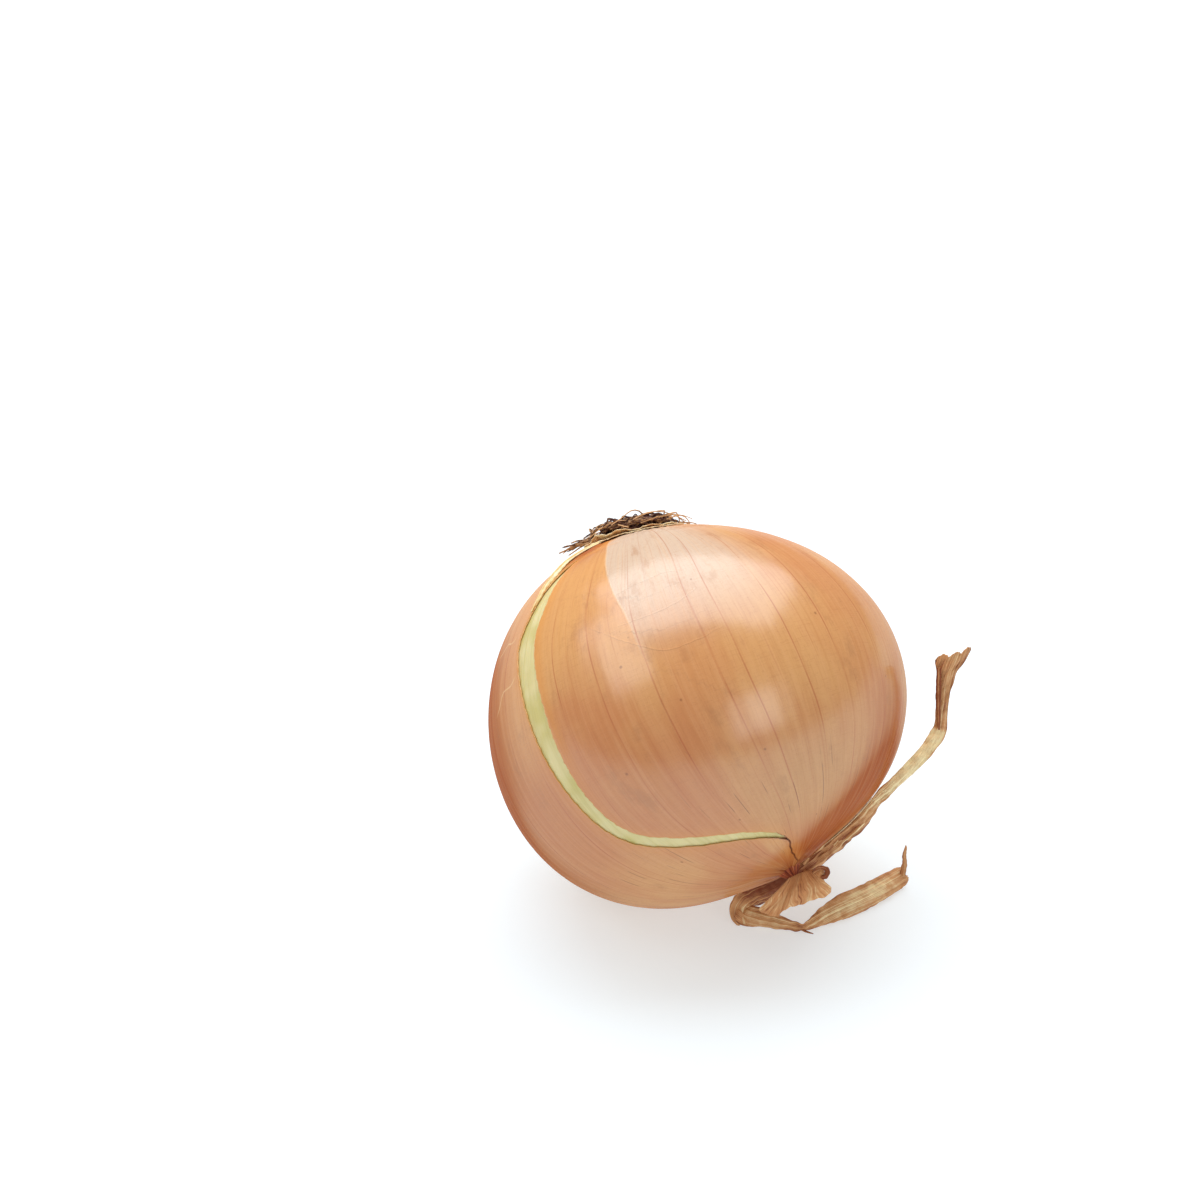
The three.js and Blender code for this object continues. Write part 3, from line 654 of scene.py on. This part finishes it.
for name, lines, count in (("crease", CREASES, 60), ("scratch", SCRATCHES, 60), ("film_and_highlight", [FILM_EDGE], 200)):
    distance, fade = nearest_line(skin_directions, lines, count)
    skin_layers.update({name + "_distance": distance, name + "_fade": fade})
for name, spots in PATCHES.items():
    skin_layers[name] = patches(skin_directions, spots)
skin_faces = grid_faces(*skin_from_root.shape)
skin = add_piece("skin", skin_points, skin_faces, skin_material(), skin_layers)
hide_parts("outer_skin")

# The root plate and its dry roots.
# A corky plate at the base of the bulb, matted over with dry wiry roots that curl low round it.
# Most are dark brown, a few are pale and loose, and one bundle lies over the rim to the left.
ARC_RADIUS = 38.0
PLATE_RADIUS = 8.2
PLATE_RISE = 1.7
PLATE_RINGS = 40
PLATE_COLUMNS = 96
ROOT_SEED = 20
MAT_ROOTS = 250
LOOSE_ROOTS = 26
BUNDLE_ROOTS = 18
BUNDLE_ANGLE = np.radians(168.0)
BUNDLE_REACH = 14.6
ROOT_LEAN = 1.0
ROOT_STEPS = 11
ROOT_SIDES = 5


def plate_height(radius, around):
    """A low dome over the plate, with rows of small bumps that grow towards its edge."""
    share = np.clip(radius / PLATE_RADIUS, 0, 1)
    bumps = 0.18 * np.sin(9 * around + 5 * share) * np.sin(22 * share) + 0.25 * np.sin(5 * around) * share
    return 0.3 + PLATE_RISE * (1 - share**2) + bumps * share


def fibre_material(name, dark, light, roughness):
    """Dull dry fibre, mottled along its length between a dark and a light colour."""
    material, tree, shader = new_material(name, {"Roughness": roughness, "Specular IOR Level": 0.3})
    grain = layer(tree, "grain", "Vector")
    mottle = noise(tree, grain, EVEN, 1.2, 3.0)
    share = maths(tree, "ADD", layer(tree, "tone"), step(tree, mottle, 0.3, 0.7, -0.25, 0.25))
    base = mixed(tree, step(tree, share, 0.0, 1.0), dark, light)
    finish_shader(tree, shader, base, noise(tree, grain, EVEN, 3.0), 0.00025)
    return material


def root_tubes():
    """Tapered tubes over the root end. The distance from the pole, the angle and the height go evenly from
    start to end, and the height adds half a sine wave and a lean to one side. Bundled roots draw together at
    half their length and part again. Returns the points, the faces and the tone."""
    random = np.random.default_rng(ROOT_SEED)
    count = MAT_ROOTS + LOOSE_ROOTS + BUNDLE_ROOTS
    kind = np.repeat([0, 1, 2], [MAT_ROOTS, LOOSE_ROOTS, BUNDLE_ROOTS])[:, None]

    def draw(low, high):
        """An even random number for each root."""
        return random.uniform(low, high, (count, 1))

    bundled = kind == 2
    loose = kind == 1
    start_around = np.where(bundled, BUNDLE_ANGLE + draw(-0.3, 0.3), draw(0, 2 * np.pi))
    start_radius = np.where(bundled, draw(4, 7), draw(0.5, 7.2))
    end_radius = np.clip(start_radius + draw(-1, 5), 2, 9.6)
    end_radius = np.where(bundled, draw(BUNDLE_REACH - 2.5, BUNDLE_REACH), end_radius)
    end_radius = np.where(loose, draw(9, 13.0), end_radius)
    turn = np.where(bundled, draw(-0.05, 0.05), np.sign(draw(-1, 1)) * draw(0.3, 1.5))
    start_height = plate_height(start_radius, start_around) - 0.2
    end_height = np.where(bundled, draw(1.6, 3.4), draw(0.8, 2.3))
    end_height = np.where(loose, draw(1.0, 3.0), end_height)
    arch = np.where(bundled, draw(0.0, 0.4), draw(0.4, 2.2))
    t = np.linspace(0, 1, ROOT_STEPS)[None, :]
    wave = draw(0, 2 * np.pi)
    radius = start_radius + (end_radius - start_radius) * t + 0.25 * np.sin(9 * t + wave)
    gathered = (1 - 2 * t) * np.where(t < 0.5, 1.0, 0.4)
    around = start_around + turn * t + 0.05 * np.sin(7 * t + wave)
    around = np.where(bundled, BUNDLE_ANGLE + (start_around - BUNDLE_ANGLE) * gathered + turn * t, around)
    lift = start_height + (end_height - start_height) * t + arch * np.sin(np.pi * t)
    lift = lift + ROOT_LEAN * np.minimum(radius, 9) / 9 * np.cos(around - BUNDLE_ANGLE) * (kind == 0)
    lift = np.maximum(lift, 0.35) + 0.12 * np.sin(11 * t + 2 * wave)
    centres = skin_point(np.maximum(radius, 0.05) / ARC_RADIUS, around, lift)
    ahead = unit(np.gradient(centres, axis=1))
    side = unit(np.cross(unit(centres - BULB_CENTRE), ahead))
    up = np.cross(ahead, side)
    thickness = np.where(loose, draw(0.14, 0.24), draw(0.18, 0.38)) * (1 - 0.55 * t)
    ring_angle = all_round(ROOT_SIDES).T
    ring = side[:, :, None] * np.cos(ring_angle) + up[:, :, None] * np.sin(ring_angle)
    points = centres[:, :, None] + ring * thickness[:, :, None, None]
    one = grid_faces(ROOT_STEPS, ROOT_SIDES, closed=True)[:, ::-1]
    offsets = np.arange(count)[:, None, None] * ROOT_STEPS * ROOT_SIDES
    tone = np.where(loose, draw(0.6, 1.2), draw(-0.1, 0.5)) + t * np.where(bundled, 0.45, 0.15) - 0.08
    tone = np.repeat(tone[:, :, None], ROOT_SIDES, axis=2)
    shape = (count * ROOT_STEPS, ROOT_SIDES)
    return points.reshape(*shape, 3), (one[None] + offsets).reshape(-1, 4), tone.reshape(shape)


plate_radius = np.linspace(0.02, PLATE_RADIUS, PLATE_RINGS)[:, None]
plate_around = all_round(PLATE_COLUMNS)
plate_lean = 0.8 * ROOT_LEAN * plate_radius / PLATE_RADIUS * np.cos(plate_around - BUNDLE_ANGLE)
plate_lift = np.maximum(plate_height(plate_radius, plate_around) + plate_lean, 0.1)
plate_points = skin_point(plate_radius / ARC_RADIUS, plate_around, plate_lift)
plate_edge = skin_point(plate_radius[-1:] / ARC_RADIUS, plate_around, -0.6)
plate_points = np.concatenate([plate_points, plate_edge])
plate_faces = grid_faces(PLATE_RINGS + 1, PLATE_COLUMNS, closed=True)
plate_layers = {"grain": plate_points, "tone": np.full(plate_points.shape[:2], 0.25)}
corky = fibre_material("corky_plate", srgb(64, 32, 24), srgb(150, 96, 66), 0.85)
plate = add_piece("root_plate", plate_points, plate_faces, corky, plate_layers)
root_points, root_faces, root_tone = root_tubes()
root_layers = {"grain": root_points, "tone": root_tone}
wiry = fibre_material("root_fibre", srgb(74, 36, 30), srgb(222, 176, 128), 0.6)
roots = add_piece("dry_roots", root_points, root_faces, wiry, root_layers)
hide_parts("root_crown")
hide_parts("root_crown")

# The root collar.
# The torn papery edge of the outer skin, left as a ragged rim round the root plate: one layer lies flat on
# the skin and a shorter one stands up round the roots. Both are tan with paler torn edges. A cream strip has
# peeled off below the rim and curls along the top of the split.
COLLAR_RINGS = 16
COLLAR_COLUMNS = 420
RIMS = {
    "flat_rim": dict(inner=8.0, outer=12.6, tear=1.6, low=0.12, lift=0.35, crumple=0.03),
    "standing_rim": dict(inner=7.9, outer=10.4, tear=0.6, low=0.3, lift=1.1, crumple=0.06),
}
RIM_LEAN = 0.7
PAPER_THICKNESS = 0.00018


def torn_edge(around):
    """Waves of three lengths plus short sharp nicks, about -1 to 1."""
    waves = 0.5 * np.sin(7 * around) + 0.3 * np.sin(16 * around + 1) + 0.2 * np.sin(29 * around + 2)
    nicks = np.abs(np.sin(43 * around + 2 * np.sin(5 * around))) ** 6
    return waves - 0.3 * nicks


def rim_surface(inner, outer, tear, low, lift, crumple):
    """A ring round the root plate with a torn outer edge. It rises outwards by the lift times two waves,
    more on the bundle's side, with a small crumple."""
    around = all_round(COLLAR_COLUMNS)
    share = np.linspace(0, 1, COLLAR_RINGS)[:, None]
    radius = inner + (outer + tear * torn_edge(around) - inner) * share
    wave = 0.55 + 0.25 * np.sin(3 * around + 0.5) + 0.2 * np.sin(11 * around)
    wave = wave * (1 + RIM_LEAN * np.cos(around - BUNDLE_ANGLE))
    height = low + lift * share * wave + crumple * np.sin(37 * around + 6 * share) * share
    grain = stacked(radius, around * 10.0, outer)
    tone = 0.6 + 0.25 * share**3 + 0.2 * np.sin(9 * around)
    return skin_point(radius / ARC_RADIUS, around, height), grain, tone


def paper_material(name, dark, middle, light):
    """Dry fibrous paper between three colours: the tone layer picks the colour, and fine fibres and broader
    strands along the piece shift it and give a ribbed relief. The grain layer holds the length along it, the
    length across it and a number of its own."""
    material, tree, shader = new_material(name, {"Roughness": 0.55, "Specular IOR Level": 0.4})
    grain = layer(tree, "grain", "Vector")
    fibres = noise(tree, grain, (0.05, 9, 1), 1.0, 4.0, 0.65)
    strands = noise(tree, grain, (0.04, 2.6, 1), 1.0)
    mottle = noise(tree, grain, EVEN, 0.5)
    share = layer(tree, "tone")
    for pattern, reach in ((fibres, 0.2), (strands, 0.2), (mottle, 0.12)):
        share = maths(tree, "ADD", share, step(tree, pattern, 0.3, 0.7, -reach, reach))
    base = mixed(tree, step(tree, share, 0.0, 0.5), dark, middle)
    base = mixed(tree, step(tree, share, 0.5, 1.0), base, light)
    finish_shader(tree, shader, base, maths(tree, "ADD", fibres, strands), 0.0002)
    return material


def add_sheet(name, surface, material, closed=False):
    """A piece from a surface's points, grain and tone, thickened to both sides like paper."""
    points, grain, tone = surface
    faces = grid_faces(*tone.shape, closed)
    piece = add_piece(name, points, faces, material, {"grain": grain, "tone": tone})
    solid = piece.modifiers.new("paper", "SOLIDIFY")
    solid.thickness = PAPER_THICKNESS
    solid.offset = 0.0
    return piece


rim_paper = paper_material("torn_rim", srgb(190, 120, 74), srgb(232, 190, 138), srgb(252, 234, 194))
for name, rim in RIMS.items():
    collar = add_sheet(name, rim_surface(**rim), rim_paper, closed=True)
    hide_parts("root_collar")

PEEL_PATH = [
    [12.5, 108], [15.5, 117], [19, 125], [23, 130], [27, 132], [31, 132.8], [35, 133.6], [39, 134.4],
    [43, 135.4], [47, 137],
]
PEEL_WIDTHS = ((0, 1.6), (0.25, 2.4), (0.6, 2.6), (0.8, 1.8), (1, 0.3))
PEEL_HEIGHT = 0.12
PEEL_CURL = 0.4
PEEL_ROWS = 200
PEEL_COLUMNS = 21


def peel_surface():
    """A band along a line on the bulb. Its width follows the list, its edges wander, and it arches across,
    with folds along it."""
    line = line_on_bulb(PEEL_PATH, PEEL_ROWS)
    side = np.cross(line, unit(np.gradient(line, axis=0)))
    share = np.linspace(0, 1, PEEL_ROWS)[:, None]
    across = np.linspace(-1, 1, PEEL_COLUMNS)[None, :]
    width = np.interp(share, *np.array(PEEL_WIDTHS).T)
    ragged = 1 + 0.16 * wander(2.5 * share, 4 * np.sign(across))
    offset = across * width / 2 * ragged + 0.2 * wander(share, 6)
    direction = unit(line[:, None] + side[:, None] * (offset / MEAN_RADIUS)[..., None])
    folds = 0.12 * np.sin(7 * across + 5 * share) + 0.05 * np.sin(17 * across + 9 * share)
    height = PEEL_HEIGHT + (PEEL_CURL * (1 - across**2) + folds) * np.sin(np.pi * (0.1 + 0.85 * share))
    grain = stacked(share * 28.0, offset, 23.0)
    tone = 0.6 + 0.25 * np.sin(6 * across + 5 * share + 1)
    return placed(direction, smooth_radius(direction) + height), grain, tone


peel_paper = paper_material("peeled_cream", srgb(214, 146, 78), srgb(238, 214, 152), srgb(250, 240, 206))
peel = add_sheet("peeled_strip", peel_surface(), peel_paper)
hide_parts("outer_skin")

# The pinched neck.
# The dry skin and leaf bases are drawn together here into one tight pleated knot.
# It is red-brown, darkened in the grooves of its folds by painted shade, and carries the three dried leaves.
NECK_RADIUS = 2.8
NECK_HEIGHT = 1.8
NECK_PLEATS = 13
NECK_RINGS = 40
NECK_COLUMNS = 200

neck_share = np.linspace(1.0, 0.02, NECK_RINGS)[:, None]
neck_around = all_round(NECK_COLUMNS)
neck_fold = np.cos(NECK_PLEATS * neck_around + 2.2 * neck_share) + 0.5 * np.cos(29 * neck_around + 1)
neck_radius = NECK_RADIUS * neck_share * (1 + 0.07 * neck_fold * neck_share)
neck_height = -0.25 + (NECK_HEIGHT + 0.4) * (1 - neck_share**1.2) ** 0.9
neck_height = neck_height + 0.3 * neck_fold * neck_share * (1 - neck_share)
neck_points = skin_point(np.pi - neck_radius / ARC_RADIUS, neck_around, neck_height)
neck_grain = stacked(neck_share * 5.0, neck_around * 5.0, 7.0)
# The tone follows the pleats, lighter on their ridges and darker in their grooves: painted shade.
neck_layers = {"grain": neck_grain, "tone": 0.2 + 0.2 * neck_fold + 0.2 * neck_share**3}
neck_faces = grid_faces(NECK_RINGS, NECK_COLUMNS, closed=True)
neck_paper = paper_material("neck_folds", srgb(116, 40, 18), srgb(182, 88, 46), srgb(218, 142, 94))
neck = add_piece("neck_knot", neck_points, neck_faces, neck_paper, neck_layers)
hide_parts("neck")

# The dried leaves.
# Two long blades shrivelled to fibrous ribbons. One rises beside the bulb and ends in a torn flare, and the
# other drops to the surface, folds back, narrows to a pinch and opens again. Torn strands lie along the
# first, splinters stand at the second, and a tab curls at the torn flap's corner.
LEAF_FRONT = np.array([0.0, -0.86, 0.51])
LEAF_CLEARANCE = 0.25
# Each station of a blade is a point of its middle line, its width and its turn in degrees.
LEAVES = {
    "long_leaf": ("leaf_long", dict(
        stations=[
            [22.7, -25.6, 15.7, 3.4, 0], [23.8, -24.9, 16.4, 4, -4], [26, -23.5, 17.5, 4.6, -6],
            [27.9, -21.9, 18.6, 5.2, -8], [30.1, -20.7, 20, 5.2, -10], [32.3, -19.6, 21.6, 4.8, -12],
            [34.6, -18.5, 23, 4.8, -15], [36.8, -17.3, 24.8, 4.7, -17], [38.7, -16.1, 26.6, 3.7, -17],
            [41, -15.1, 28.2, 2.5, -12], [43.6, -14, 30.3, 2.4, -6], [45.8, -12.9, 32, 2.5, -1],
            [48.9, -11, 34.8, 2.7, 6], [50.5, -9.8, 36.5, 2.9, 9], [51.9, -8.7, 38.2, 3, 10],
            [52.4, -7.8, 39.8, 2.5, 7], [52.6, -6.8, 41.7, 2.6, 3], [52.9, -6, 44.5, 2.8, -3],
            [53.1, -5.4, 46.5, 3.1, -8], [53.5, -5, 49, 4, -9], [54.3, -4.4, 51.4, 6, -10],
        ],
        tones=(
            (0, -0.1), (0.1, 0.12), (0.3, 0.25), (0.4, 0.6), (0.5, 1), (0.71, 1), (0.735, 0.4), (1, 0.42)
        ),
        rows=420, columns=29, edge_wander=0.12, crumple=1, tooth_length=0.9, teeth=3, tooth_lean=4.2,
    )),
    # A narrow fold turned sideways at the leaf's left edge; its dark tone is painted shade.
    "long_leaf_fold": ("leaf_long", dict(
        stations=[
            [52.1, -8.8, 39.2, 0.5, 40], [51.9, -7.9, 41.8, 0.9, 45], [51.8, -6.9, 44.8, 1.1, 45],
            [51.8, -6.1, 47.8, 1.2, 40], [51.8, -5.2, 51.3, 0.9, 35],
        ],
        tones=((0, 0.1), (1, 0)),
        rows=120, gutter=0.1, edge_wander=0.05, crumple=0.2,
    )),
    "long_leaf_strand": ("leaf_long", dict(
        stations=[
            [24.4, -24.7, 17.4, 1, 0], [26.4, -22.7, 18.9, 2.2, 0], [28.6, -21, 20.9, 2.6, 0],
            [30.9, -19.8, 22.9, 2.6, 0], [34, -18.2, 25.2, 2, 0], [37, -16.7, 28, 0.8, 0],
        ],
        tones=((0, 0.35), (0.4, 0.75), (1, 0.85)),
        rows=180, gutter=0.3, edge_wander=0.2, crumple=0.5, tooth_length=0.5,
    )),
    "long_leaf_low_strand": ("leaf_long", dict(
        stations=[
            [24.4, -25.2, 15.4, 1.2, -10], [27.4, -23.4, 16.6, 2, -30], [30.3, -21.6, 18.2, 2.2, -30],
            [33.4, -20, 20.4, 1.6, -20], [36.4, -18.6, 22.6, 0.5, 0],
        ],
        tones=((0, 0.3), (0.6, 0.5), (1, 0.6)),
        rows=160, columns=11, gutter=0.3, edge_wander=0.25, crumple=0.8, tooth_length=0.6,
    )),
    "folded_leaf": ("leaf_folded", dict(
        stations=[
            [11.9, -20.4, 3.4, 3.4, 30], [13.4, -20.9, 2.6, 4.4, 5], [16.2, -21.5, 2.1, 4.2, -20],
            [20.6, -22.7, 1.8, 3.2, -30], [24.6, -23.5, 1.3, 1.8, -50], [26.2, -23, 1.4, 2, -25],
            [29.4, -20.6, 2.1, 3.6, 0], [33.9, -17.5, 2.6, 5, 4], [39.3, -13.7, 2.9, 5, 6],
            [44.4, -8.6, 2.6, 4.5, 4], [46.8, -6, 2.4, 4, 2],
        ],
        tones=((0, 0.3), (0.15, 0.55), (0.3, 0.5), (0.4, 0.35), (0.5, 0.5), (0.75, 0.7), (1, 0.5)),
        rows=400, columns=25, gutter=0.16, edge_wander=0.04, crumple=0.8, tooth_length=1, teeth=2,
        tooth_lean=-0.6,
    )),
    # Darkest near the neck, where it runs under the bulb: partly the leaf's own dark brown and partly
    # painted shade.
    "folded_leaf_base": ("leaf_folded", dict(
        stations=[
            [22.1, -25.9, 15, 2.8, 5], [20.6, -24.3, 12.4, 4.2, 10], [18.2, -22.4, 9.5, 5, 15],
            [15.2, -20.6, 6.7, 5.4, 25], [13.3, -19.9, 4.6, 5.2, 25], [12.7, -20.3, 2.8, 4.6, 15],
            [13.2, -21.2, 1.4, 3.6, 0],
        ],
        tones=((0, -0.1), (0.35, -0.1), (0.55, 0.2), (0.7, 0.55), (1, 0.5)),
        rows=200, columns=25, gutter=0.26, edge_wander=0.06, crumple=0.7, tooth_length=0.5, teeth=3,
    )),
    "folded_leaf_splinter": ("leaf_folded", dict(
        stations=[
            [46.6, -6.4, 2.6, 1.3, 0], [46.9, -6, 5.2, 1, 20], [46.8, -5.7, 7.4, 0.8, 40],
            [47.1, -5.4, 9, 0.4, 50],
        ],
        tones=((0, 0.4), (1, 0.45)),
        rows=60, columns=7, edge_wander=0.15, crumple=0.2, tooth_length=0.3,
    )),
    "folded_leaf_pinch": ("leaf_folded", dict(
        stations=[[24.6, -23.6, 1, 0.4, -30], [25.8, -24.3, 0.8, 0.3, -20], [27, -24.7, 0.6, 0.1, 0]],
        tones=((0, 0.2), (1, 0.1)),
        rows=30, columns=5, edge_wander=0.1, crumple=0.1, tooth_length=0.1,
    )),
    "flap_curled_tab": ("torn_flap", dict(
        stations=[
            [26.3, -27.3, 17, 0.5, 0], [27.3, -27.2, 17.8, 0.9, -30], [28.3, -27.2, 18, 1.2, -40],
            [29, -27.6, 17.7, 1.2, -40], [28.9, -28.1, 16.9, 1.1, -30], [28.2, -28, 16.4, 0.7, 0],
        ],
        tones=((0, 0.25), (0.4, 0.1), (0.7, -0.1), (1, 0)),
        rows=90, gutter=0.35, edge_wander=0.15, crumple=0.15,
    )),
}


def clear_of_bulb(points, clearance):
    """Points nearer to the skin than the clearance are moved out along their own radius to clear it."""
    away = points - BULB_CENTRE
    distance = np.linalg.norm(away, axis=-1)
    direction = away @ AXES.T / distance[..., None]
    least = smooth_radius(direction) + clearance
    return np.where((distance < least)[..., None], placed(direction, least), points)


def leaf_surface(
    stations, tones, rows, edge_wander, crumple, columns=9, gutter=0.2, tooth_length=0.2, teeth=1,
    tooth_lean=0.0,
):
    """A blade swept along its centre line: across it is folded to a gutter, its edges wander, short waves in
    both directions crumple it, and near the tip its end is drawn out into teeth. Returns the points, the
    grain and the tone."""
    stations = np.array(stations)
    line = smooth_line(stations[:, :3], rows)
    blade = smooth_line(stations[:, 3:], rows)
    u = np.linspace(0, 1, rows)
    v = np.linspace(0, 1, columns)
    ahead = unit(np.gradient(line, axis=0))
    flat_side = unit(np.cross(ahead, LEAF_FRONT))
    face = unit(np.cross(flat_side, ahead))
    turn = np.radians(blade[:, 1] + 5 * wander(u, 2))[:, None]
    side = flat_side * np.cos(turn) + face * np.sin(turn)
    normal = face * np.cos(turn) - flat_side * np.sin(turn)
    across = (2 * v - 1)[None, :]
    length = np.cumsum(np.linalg.norm(np.gradient(line, axis=0), axis=1))[:, None]
    fray = 0.025 * np.sin(1.1 * length + 3 * np.sin(0.6 * length) + 4 * np.sign(across))
    width = blade[:, :1] * (1 + edge_wander * wander(u[:, None], 5 * np.sign(across)) + fray)
    offset = across * width / 2
    fold = gutter * width * (0.5 - np.abs(across))
    ribs = 0.05 * np.sin(6.5 * offset + 2 * np.sin(0.11 * length))
    ribs = ribs + 0.04 * np.sin(12 * offset + 0.2 * length)
    waves = 0.14 * np.sin(1.5 * length + 1.1 * offset) + 0.1 * np.sin(2.7 * length - 1.9 * offset + 1)
    curl = 0.35 * np.abs(across) ** 4 * np.sin(0.5 * length + 2 * np.sign(across))
    points_of_tip = np.abs(np.sin(teeth * np.pi * v)) + 0.4 * np.abs(np.sin(9 * np.pi * v)) ** 0.5
    drawn = (tooth_length * points_of_tip + tooth_lean * v)[None, :] * u[:, None] ** 12
    points = line[:, None] + side[:, None] * offset[..., None]
    points = points + normal[:, None] * (fold + ribs + crumple * (waves + curl))[..., None]
    points = above_floor(clear_of_bulb(points + ahead[:, None] * drawn[..., None], LEAF_CLEARANCE), 0.25)
    grain = stacked(length, offset, 11.0)
    tone = np.interp(u, *np.array(tones).T)[:, None] + 0.1 - 0.3 * across**2
    return points, grain, tone


leaf_paper = paper_material("leaf_paper", srgb(146, 78, 44), srgb(216, 160, 108), srgb(255, 236, 186))
for name, (node_name, leaf) in LEAVES.items():
    blade_piece = add_sheet(name, leaf_surface(**leaf), leaf_paper)
    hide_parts(node_name)

# The torn flap.
# A short piece of a broken leaf that hangs from the neck like a pleated skirt, torn along its lower edge.
# Its pleats run down from the neck, and its right side curls back.
FLAP_TOP = np.array([
    [21.8, -26.6, 15.4], [23.2, -26.6, 16.2], [24.6, -26.6, 16.8], [26.2, -26.5, 17.2], [27.8, -26.4, 17.5]
])
FLAP_BOTTOM = np.array([
    [15.7, -27.6, 8.6], [17.3, -28.6, 8], [19.1, -29.2, 7.7], [20.5, -29.6, 9.5], [22, -29.9, 10.5],
    [23.8, -30.2, 11.4], [25.7, -30.2, 12.2], [27.7, -29.9, 12.7], [29.5, -29.2, 13.2], [30.1, -28.3, 14],
    [29, -27.7, 14.7], [28.6, -27.3, 15.4], [28.9, -26.8, 16.2], [28.4, -26.4, 17.2],
])
FLAP_COLUMNS = 260
FLAP_RINGS = 44
FLAP_PLEATS = 6
FLAP_PLEAT_DEPTH = 0.1
FLAP_CURL = 1.0
FLAP_TEAR = 0.03

flap_u = np.linspace(0, 1, FLAP_COLUMNS)[:, None]
flap_v = np.linspace(0, 1, FLAP_RINGS)[None, :]
flap_top = smooth_line(FLAP_TOP, FLAP_COLUMNS)[:, None]
flap_bottom = smooth_line(FLAP_BOTTOM, FLAP_COLUMNS)[:, None]
flap_torn = 1 + FLAP_TEAR * wander(2 * flap_u, 4)
flap_points = flap_top + (flap_bottom - flap_top) * (flap_v * flap_torn)[..., None]
flap_pleats = np.sin(FLAP_PLEATS * 2 * np.pi * flap_u + 2 * np.sin(5 * flap_u) + 1.5 * flap_v)
flap_pleats = flap_pleats + 0.6 * np.sin(110 * flap_u + 6 * np.sin(9 * flap_u) + 4 * np.sin(3 * flap_v))
flap_pleats = FLAP_PLEAT_DEPTH * (0.25 + 0.75 * flap_v) * flap_pleats
flap_curl = FLAP_CURL * np.sin(np.pi * flap_v) * (0.6 + 0.4 * np.sin(2.5 * flap_u))
flap_points = clear_of_bulb(flap_points + LEAF_FRONT * (flap_pleats + flap_curl)[..., None], LEAF_CLEARANCE)
flap_bend = 0.3 * np.sin(5 * flap_v + 17 * flap_u) + 0.12 * np.sin(13 * flap_v + 31 * flap_u)
flap_grain = stacked(flap_v * 8.0, flap_u * 15.0 + flap_bend, 17.0)
# The tone follows the pleats, lighter on their crests and darker in their hollows, which is painted shade;
# it also grows paler towards the torn edge.
flap_tone = 0.44 + 0.15 * flap_v + 1.2 * flap_pleats
flap_paper = paper_material("flap_paper", srgb(156, 82, 44), srgb(222, 160, 106), srgb(248, 212, 158))
flap = add_sheet("flap", (flap_points, flap_grain, flap_tone), flap_paper)
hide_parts("torn_flap")
